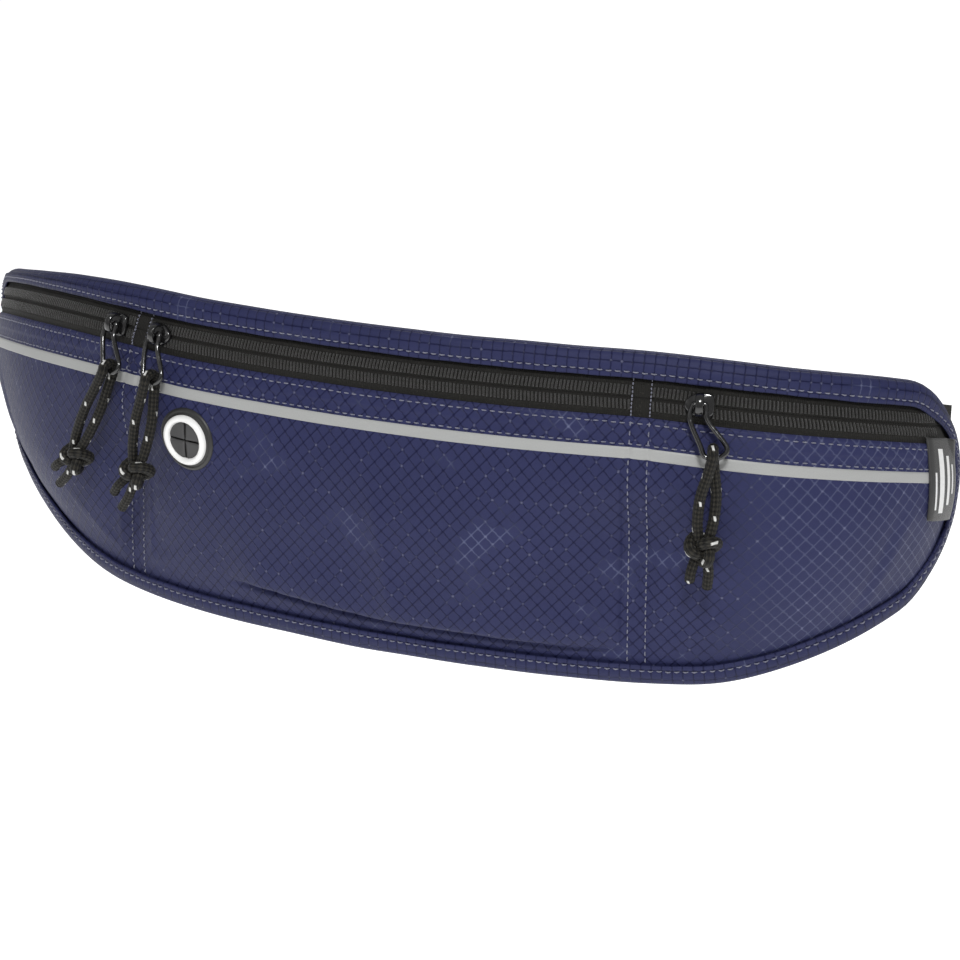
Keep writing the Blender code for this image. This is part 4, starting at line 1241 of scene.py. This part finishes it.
def build_slider(name, s, materials):
    """Painted slider: a shield-shaped plate with turned-down flanges and a bent crown."""
    frame = slider_frame(s)
    side = 1.0 if name == "centre" else -1.0
    shield = [(-0.0046, 0.0016), (-0.0040, 0.0033), (-0.0018, 0.0039), (0.0012, 0.0036), (0.0034, 0.0024),
              (0.0047, 0.0010), (0.0047, -0.0010), (0.0034, -0.0024), (0.0012, -0.0036), (-0.0018, -0.0039),
              (-0.0040, -0.0033), (-0.0046, -0.0016)]
    shield = [(side * x, y) for x, y in shield]
    if side < 0.0:
        shield.reverse()
    plate = outline_solid("slider_plate_" + name, shield, -0.0003, 0.0013, 0.0006, frame,
                          materials["black_metal"], body="slider_" + name, slot="black_metal",
                          replaces=("slider_" + name,))
    crown = smooth_path([Vector((0.0, y, h)) for y, h in (
        (-0.0031, 0.0008), (-0.0032, 0.0024), (-0.0025, 0.0042), (-0.0010, 0.0051), (0.0010, 0.0051),
        (0.0025, 0.0042), (0.0032, 0.0024), (0.0031, 0.0008))], 5)
    vertices = []
    flat = []
    for i, point in enumerate(crown):
        ahead = crown[min(i + 1, len(crown) - 1)]
        behind = crown[max(i - 1, 0)]
        forward = (ahead - behind).normalized()
        out = Vector((1.0, 0.0, 0.0)).cross(forward)
        wide = 0.00115 + 0.0004 * abs(i / (len(crown) - 1) - 0.5) * 2.0
        for j in range(12):
            turn = 2.0 * math.pi * j / 12
            x = math.copysign(abs(math.cos(turn)) ** 0.6, math.cos(turn)) * wide
            t = math.copysign(abs(math.sin(turn)) ** 0.6, math.sin(turn)) * 0.00055
            vertices.append(frame @ (point + Vector((x, 0.0, 0.0)) + out * t))
            flat.append((x, i * 0.0004, 0.0))
    faces = grid_faces(len(crown), 12, wrap_rows=True)
    make_piece("slider_crown_" + name, vertices, faces, materials["black_metal"], flat,
               body="slider_" + name, slot="black_metal")
    return plate


def pull_pivot(s):
    """World point and axis of the bar under the slider's crown."""
    frame = slider_frame(s)
    point = frame @ Vector((0.0, 0.0, 0.0013 + 0.0006 + 0.5 * PULL_WIRE))
    return point, frame.to_3x3() @ Vector((1.0, 0.0, 0.0))


def pull_bar(s, lean):
    z = top_line(s) - ZIP_CENTRE - PULL_LENGTH
    return place(s + lean, z, PULL_BAR_DEPTH)


def build_pull(name, s, lean, materials):
    """Wire loop: narrow and upright at the crown, wider at the cord."""
    top, axis = pull_pivot(s)
    low = pull_bar(s, lean)
    hanging = pull_bar(s, 0.0) - top
    upright = hanging * 0.30
    flare = hanging * -0.20
    half_top = 0.5 * (0.0072 - PULL_WIRE)
    half_low = 0.5 * (0.0100 - PULL_WIRE)
    corners = (
        top - axis * half_top * 0.7,
        top,
        top + axis * half_top * 0.7,
        top + axis * half_top + upright,
        low + axis * half_low + flare,
        low + axis * half_low * 0.62,
        low,
        low - axis * half_low * 0.62,
        low - axis * half_low + flare,
        top - axis * half_top + upright,
    )
    path = smooth_path(corners, 8, cyclic=True)
    vertices, faces, flat = tube_mesh(path + path[:1], 0.5 * PULL_WIRE, 14)
    make_piece("pull_wire_" + name, vertices, faces, materials["black_metal"], flat, body="pull_" + name,
               slot="black_metal", replaces=("pull_" + name,))


def knot_place(s, lean, way):
    """World point in the middle of the knot."""
    drop, shift = way
    z = top_line(s) - ZIP_CENTRE - PULL_LENGTH - drop
    return place(s + lean + shift, z, KNOT_DEPTH)


def braided_tube(points, radius, start_at):
    """A tube whose surface has the relief of a plaited cord."""
    vertices, faces, flat = tube_mesh(points, radius, 28, start_at)
    turns = 2.0 * math.pi
    raised = []
    for x, y, _ in flat:
        one = math.sin(turns * (x / PLAIT_PITCH + PLAIT_STRANDS * y))
        two = math.sin(turns * (x / PLAIT_PITCH - PLAIT_STRANDS * y))
        raised.append(one * two)
    rows = 29
    for i, point in enumerate(points):
        for j in range(rows):
            k = i * rows + j
            out = (vertices[k] - point).normalized()
            vertices[k] = vertices[k] + out * 0.00014 * raised[k]
    return vertices, faces, flat


def cord_strands(s, lean, way):
    """Two strands from the top of the pull's lower bar down into the knot."""
    bar = pull_bar(s, lean)
    angle = plan(s + lean)[2]
    outward = Vector((math.sin(angle), -math.cos(angle), 0.0))
    along = Vector((math.cos(angle), math.sin(angle), 0.0))
    up = Vector((0.0, 0.0, 1.0))
    reach = 0.5 * (PULL_WIRE + CORD) + 0.0002
    knot = knot_place(s, lean, way)
    apex = bar + up * reach
    strands = []
    for side in (1.0, -1.0):
        beside = bar + outward * reach * side
        low = knot + up * 0.0030 - along * side * 0.0016
        bow = -along * side * 0.0017
        points = [
            apex,
            bar + outward * reach * 0.72 * side + up * reach * 0.70,
            beside + up * 0.0002,
            beside.lerp(low, 0.18) + bow * 0.35,
            beside.lerp(low, 0.48) + bow,
            beside.lerp(low, 0.78) + bow * 0.75,
            low,
        ]
        strands.append(even_path(smooth_path(points, 12), 0.00042))
    return apex, strands


def build_cord(name, s, lean, way, tails, materials):
    """Folded braided cord, its knot and its two cut tails."""
    knot = knot_place(s, lean, way)
    angle = plan(s)[2]
    along = Vector((math.cos(angle), math.sin(angle), 0.0))
    outward = Vector((math.sin(angle), -math.cos(angle), 0.0))
    up = Vector((0.0, 0.0, 1.0))
    parts = []
    loop = []
    for i in range(97):
        t = 2.0 * math.pi * i / 96
        x = (math.sin(t) + 2.0 * math.sin(2.0 * t)) / 3.0
        y = (math.cos(t) - 2.0 * math.cos(2.0 * t)) / 3.0
        z = -math.sin(3.0 * t)
        loop.append(knot + along * 0.0047 * x + up * 0.0044 * y + outward * 0.0026 * z)
    path, length = even_path(loop, 0.00045)
    parts.append(braided_tube(path, 0.5 * CORD * 1.08, 0.002))
    reach = along * tails[0] - up * tails[1]
    across = outward.cross(reach).normalized() * 0.0024
    for side in (-1.0, 1.0):
        points = [
            knot + across * side * 0.3,
            knot + across * side * 0.8 + reach * 0.30 + outward * 0.0006 * side,
            knot + across * side * 1.15 + reach * 0.65,
            knot + across * side * 1.2 + reach * (1.0 + 0.06 * side) - outward * 0.0008,
        ]
        tail, _ = even_path(smooth_path(points, 10), 0.00045)
        parts.append(braided_tube(tail, 0.5 * CORD * 0.96, 0.004 + 0.003 * side))
    vertices, faces, flat = joined(parts)
    body = "cord_" + name
    ball = make_piece("cord_knot_" + name, vertices, faces, materials["braid"], flat, body=body,
                      slot="cord", replaces=("pull_knot_" + name,))
    apex, strands = cord_strands(s, lean, way)
    for number, (path, length) in enumerate(strands, 1):
        vertices, faces, flat = braided_tube(path, 0.5 * CORD, 0.003 * number)
        strand = make_piece("cord_%s_%d" % (name, number), vertices, faces, materials["braid"], flat,
                            body=body, slot="cord", replaces=("pull_cord_" + name,))


TAILS = {
    "left": (-0.0125, 0.0100),
    "centre": (-0.0105, 0.0130),
    "right": (-0.0012, 0.0128),
}


def build_pullers(materials):
    for name, (s, lean, way) in PULLERS.items():
        build_slider(name, s, materials)
        build_pull(name, s, lean, materials)
        build_cord(name, s, lean, way, TAILS[name], materials)


# ---------------------------------------------------------------- belt

BELT_THICK = 0.0016
BELT_END = 0.2070
BELT_SEWN = 0.0190
BELT_TAIL = 0.0900
LAYER = 0.0011
SOCKET_SLOT = 0.0360
PLUG_SLOT = 0.0230
FRAME_THICK = 0.0036
KEEPER_X = 0.0900
BELT_SEWN_DEPTH = -0.0072


def sewn_points(end):
    """Plan points of the webbing where it is sewn flat on the back, near an end of the bag."""
    side = math.copysign(1.0, end)
    points = []
    for share in (0.0, 0.5, 1.0):
        point = place(end - side * BELT_SEWN * share, 0.0, BELT_SEWN_DEPTH)
        points.append((point.x, point.y))
    flat = points[-1]
    points.append((flat[0] - side * 0.013, flat[1] - 0.0052))
    points.append((flat[0] - side * 0.034, BELT_Y + 0.0002))
    return points


def around_bar(end, side):
    """Plan points of webbing that turns round a buckle bar whose edge is at x = end."""
    lift = 0.5 * FRAME_THICK + 0.5 * BELT_THICK + 0.0005
    turn = 0.0022
    half = ((0.0180, LAYER), (0.0070, 0.9 * lift), (0.0012, lift), (-0.4 * turn, 0.86 * lift),
            (-0.86 * turn, 0.45 * lift))
    points = [(end + side * along, BELT_Y - away) for along, away in half]
    points.append((end - side * turn, BELT_Y))
    points += [(end + side * along, BELT_Y + away) for along, away in reversed(half)]
    return points


def ribbon(name, points, material, body, slot, replaces):
    """Webbing with rounded edges whose middle follows a plan path."""
    path, _ = even_path(smooth_path([Vector((x, y, 0.0)) for x, y in points], 10), 0.0010)
    half = 0.5 * BELT_WIDTH
    thick = 0.5 * BELT_THICK
    heights = [-half, -half + 0.0003, -half + 0.0012] + spaced(-half + 0.003, half - 0.003, 0.003)
    heights += [half - 0.0012, half - 0.0003, half]
    widths = [0.35, 0.85, 1.12] + [1.0] * (len(heights) - 6) + [1.12, 0.85, 0.35]
    section = [(h, w) for h, w in zip(heights, widths)]
    section += [(h, -w) for h, w in reversed(section)]
    vertices = []
    flat = []
    length = 0.0
    for i, point in enumerate(path):
        ahead = path[min(i + 1, len(path) - 1)]
        behind = path[max(i - 1, 0)]
        if i > 0:
            length += (point - path[i - 1]).length
        forward = (ahead - behind).normalized()
        side = Vector((-forward.y, forward.x, 0.0))
        for h, w in section:
            vertices.append(point + side * thick * w * 0.98 + Vector((0.0, 0.0, BELT_HEIGHT + h)))
            flat.append((length, h, 0.0))
    count = len(section)
    faces = grid_faces(len(path), count, wrap_rows=True)
    faces.append(tuple(range(count)))
    faces.append(tuple(reversed(range(len(vertices) - count, len(vertices)))))
    return make_piece(name, vertices, faces, material, flat, body=body, slot=slot, replaces=replaces)


def build_belt(materials):
    """Elastic webbing in two halves, its sewn ends, and the keeper that holds the tail."""
    left = sewn_points(-BELT_END)
    left += around_bar(-SOCKET_SLOT, -1.0)
    left.append((-SOCKET_SLOT - 0.0280, BELT_Y + LAYER))
    ribbon("webbing_left", left, materials["webbing"], "bag", "webbing", ("belt_left",))
    right = sewn_points(BELT_END)
    right.append((0.0900, BELT_Y - LAYER))
    right += around_bar(PLUG_SLOT, 1.0)
    right.append((0.0750, BELT_Y + LAYER))
    right.append((PLUG_SLOT + BELT_TAIL, BELT_Y + LAYER))
    webbing_right = ribbon("webbing_right", right, materials["webbing"], None, "webbing", ("belt_right",))
    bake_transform(webbing_right)
    for name, side in (("left", -1.0), ("right", 1.0)):
        outer = side * (BELT_END - 0.0020)
        inner = side * (BELT_END - BELT_SEWN + 0.0015)
        low = BELT_HEIGHT - 0.0098
        high = BELT_HEIGHT + 0.0098
        corners = [(outer, low), (outer, high), (inner, high), (inner, low), (outer, low), (inner, high)]
        line = []
        for (s_a, z_a), (s_b, z_b) in zip(corners, corners[1:]):
            for t in spaced(0.0, 1.0, 0.25)[:-1]:
                line.append((s_a + (s_b - s_a) * t, z_a + (z_b - z_a) * t))
        stitches_on("stitches_belt_" + name, line + corners[-1:],
                    lambda s, z: BELT_SEWN_DEPTH - 0.5 * BELT_THICK, 0.0002, 0.0024,
                    materials["black_thread"], flip=True, slot="webbing")
    build_keeper(materials)


def build_keeper(materials):
    """A narrow elastic loop round both layers of the webbing."""
    half_y = LAYER + 0.5 * BELT_THICK + 0.0008 + 0.0004
    half_z = 0.5 * BELT_WIDTH + 0.0008 + 0.0004
    corner = 0.0012
    path = []
    for sign_y, sign_z, start in ((1.0, 1.0, 0.0), (-1.0, 1.0, 0.5), (-1.0, -1.0, 1.0), (1.0, -1.0, 1.5)):
        for i in range(6):
            turn = math.pi * (start + 0.5 * i / 5.0)
            path.append((sign_y * (half_y - corner) + corner * math.cos(turn),
                         sign_z * (half_z - corner) + corner * math.sin(turn)))
    section = [(-0.0050, 0.0), (-0.0047, 0.00045), (-0.0040, 0.00050), (0.0, 0.00040), (0.0040, 0.00050),
               (0.0047, 0.00045), (0.0050, 0.0)]
    section += [(x, -0.0004) for x, _ in reversed(section[1:-1])]
    vertices = []
    flat = []
    length = 0.0
    for i, (y, z) in enumerate(path):
        before = path[i - 1]
        after = path[(i + 1) % len(path)]
        run = Vector((after[0] - before[0], after[1] - before[1])).normalized()
        if i > 0:
            length += math.hypot(y - before[0], z - before[1])
        for x, lift in section:
            outer_y = BELT_Y + y + run.y * lift
            outer_z = BELT_HEIGHT + z - run.x * lift
            vertices.append(Vector((KEEPER_X + x, outer_y, outer_z)))
            flat.append((length, x, 0.0))
    faces = grid_faces(len(path), len(section), wrap_columns=True, wrap_rows=True)
    make_piece("keeper_loop", vertices, faces, materials["webbing"], flat, body="keeper", slot="keeper",
               replaces=("belt_keeper",))


# ---------------------------------------------------------------- stage


def aim(item, target):
    direction = Vector(target) - item.location
    item.rotation_euler = direction.to_track_quat("-Z", "Y").to_euler()


def add_light(name, where, target, size, power, colour=(1.0, 1.0, 1.0)):
    light = bpy.data.lights.new(name, "AREA")
    light.shape = "DISK"
    light.size = size
    light.energy = power
    light.color = colour
    item = bpy.data.objects.new(name, light)
    item.location = where
    bpy.context.scene.collection.objects.link(item)
    aim(item, target)


def build_stage():
    """Pale floor well below the bag, a pale sky and three soft lights."""
    bpy.ops.mesh.primitive_plane_add(size=40.0, location=(0.0, 0.0, -0.40))
    floor = bpy.context.object
    floor.name = "floor"
    material, _, shader = new_material("floor")
    shader.inputs["Base Color"].default_value = (0.93, 0.93, 0.93, 1.0)
    shader.inputs["Roughness"].default_value = 0.9
    shader.inputs["Specular IOR Level"].default_value = 0.1
    shader.inputs["Emission Color"].default_value = (1.0, 1.0, 1.0, 1.0)
    shader.inputs["Emission Strength"].default_value = 0.66
    floor.data.materials.append(material)
    world = bpy.data.worlds.new("sky")
    bpy.context.scene.world = world
    world.use_nodes = True
    background = world.node_tree.nodes["Background"]
    background.inputs["Color"].default_value = (1.0, 1.0, 1.0, 1.0)
    background.inputs["Strength"].default_value = 0.36
    middle = (0.0, 0.0, 0.0)
    add_light("key", (0.62, -1.15, 1.45), middle, 0.36, 26.0)
    add_light("fill", (-1.0, -1.5, 1.2), middle, 0.9, 1.6)
    add_light("back", (-0.2, 1.3, 0.9), middle, 1.0, 6.0)
    bpy.context.scene.view_settings.view_transform = "Standard"


def build_camera():
    data = bpy.data.cameras.new("camera")
    data.sensor_width = 36.0
    data.lens = CAMERA_LENS
    data.clip_start = 0.01
    camera = bpy.data.objects.new("camera", data)
    camera.location = CAMERA_PLACE
    forward = Vector((math.sin(CAMERA_YAW) * math.cos(CAMERA_PITCH),
                      math.cos(CAMERA_YAW) * math.cos(CAMERA_PITCH), -math.sin(CAMERA_PITCH)))
    camera.rotation_euler = forward.to_track_quat("-Z", "Y").to_euler()
    bpy.context.scene.collection.objects.link(camera)
    bpy.context.scene.camera = camera


def make_materials():
    navy = (0.0235, 0.0268, 0.0815)
    taped = tuple(0.95 * c for c in navy)
    coil = ((0.0030, 0.0028, 0.0024), (0.0150, 0.0140, 0.0118))
    # navy thread with painted glints: its pale tone stands for light caught by the stitches, the dark tone
    # is the thread's own
    thread = ((0.012, 0.013, 0.045), (0.40, 0.41, 0.52))
    black = ((0.012, 0.012, 0.013), (0.05, 0.05, 0.054))
    printed = ((0.55, 0.55, 0.55), (0.80, 0.80, 0.79))
    flange = ((0.010, 0.010, 0.010), (0.026, 0.026, 0.026))
    white = ((0.76, 0.76, 0.75), (0.84, 0.84, 0.83))
    rubber = ((0.030, 0.030, 0.031), (0.060, 0.060, 0.061))
    # near black: the painted shade inside the port
    dark = ((0.004, 0.004, 0.004), (0.010, 0.010, 0.010))
    buckle = ((0.013, 0.013, 0.014), (0.028, 0.028, 0.030))
    return {
        "ripstop": ripstop("ripstop", RIP_PITCH, True, navy),
        "ripstop_tape": ripstop("ripstop_tape", RIP_PITCH, False, taped),
        "zip_tape": zip_tape(),
        "coil": cloth_material("zip_coil", *coil, 0.0008, 0.00008, 0.42),
        "thread": cloth_material("navy_thread", *thread, 0.0011, 0.0001, 0.40),
        "black_thread": cloth_material("black_thread", *black, 0.0007, 0.0001),
        "reflective": reflective(),
        "black_metal": black_metal(),
        "braid": braid(),
        "air_mesh": air_mesh(),
        "webbing": webbing(),
        "label": label_cloth(),
        "label_print": cloth_material("label_print", *printed, 0.0004, 0.00004, 0.6),
        "flange": moulded("port_flange", *flange, 0.45, 1500.0, 0.00003),
        "white": moulded("port_ring", *white, 0.35, 1200.0, 0.00002),
        "rubber": moulded("port_rubber", *rubber, 0.55, 1800.0, 0.00003),
        # painted shade for the inside of the port
        "dark": moulded("port_inside_shade", *dark, 0.8, 900.0, 0.00004),
        "buckle": moulded("buckle", *buckle, 0.42, 1400.0, 0.00005),
    }


def finish_buckle(frame, materials):
    """The CAD buckle stays, in moulded black plastic."""
    for name in ("buckle_socket", "buckle_plug"):
        piece = frame["nodes"][name]
        piece.data.materials.clear()
        piece.data.materials.append(materials["buckle"])


def main():
    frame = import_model()
    build_camera()
    build_stage()
    materials = make_materials()
    build_pullers(materials)
    build_front(materials)
    build_facing(materials)
    build_strip(materials)
    build_zip(materials)
    build_seams(materials)
    build_binding(materials)
    build_back(materials)
    build_port(materials)
    build_label(materials)
    build_belt(materials)
    finish_buckle(frame, materials)


main()
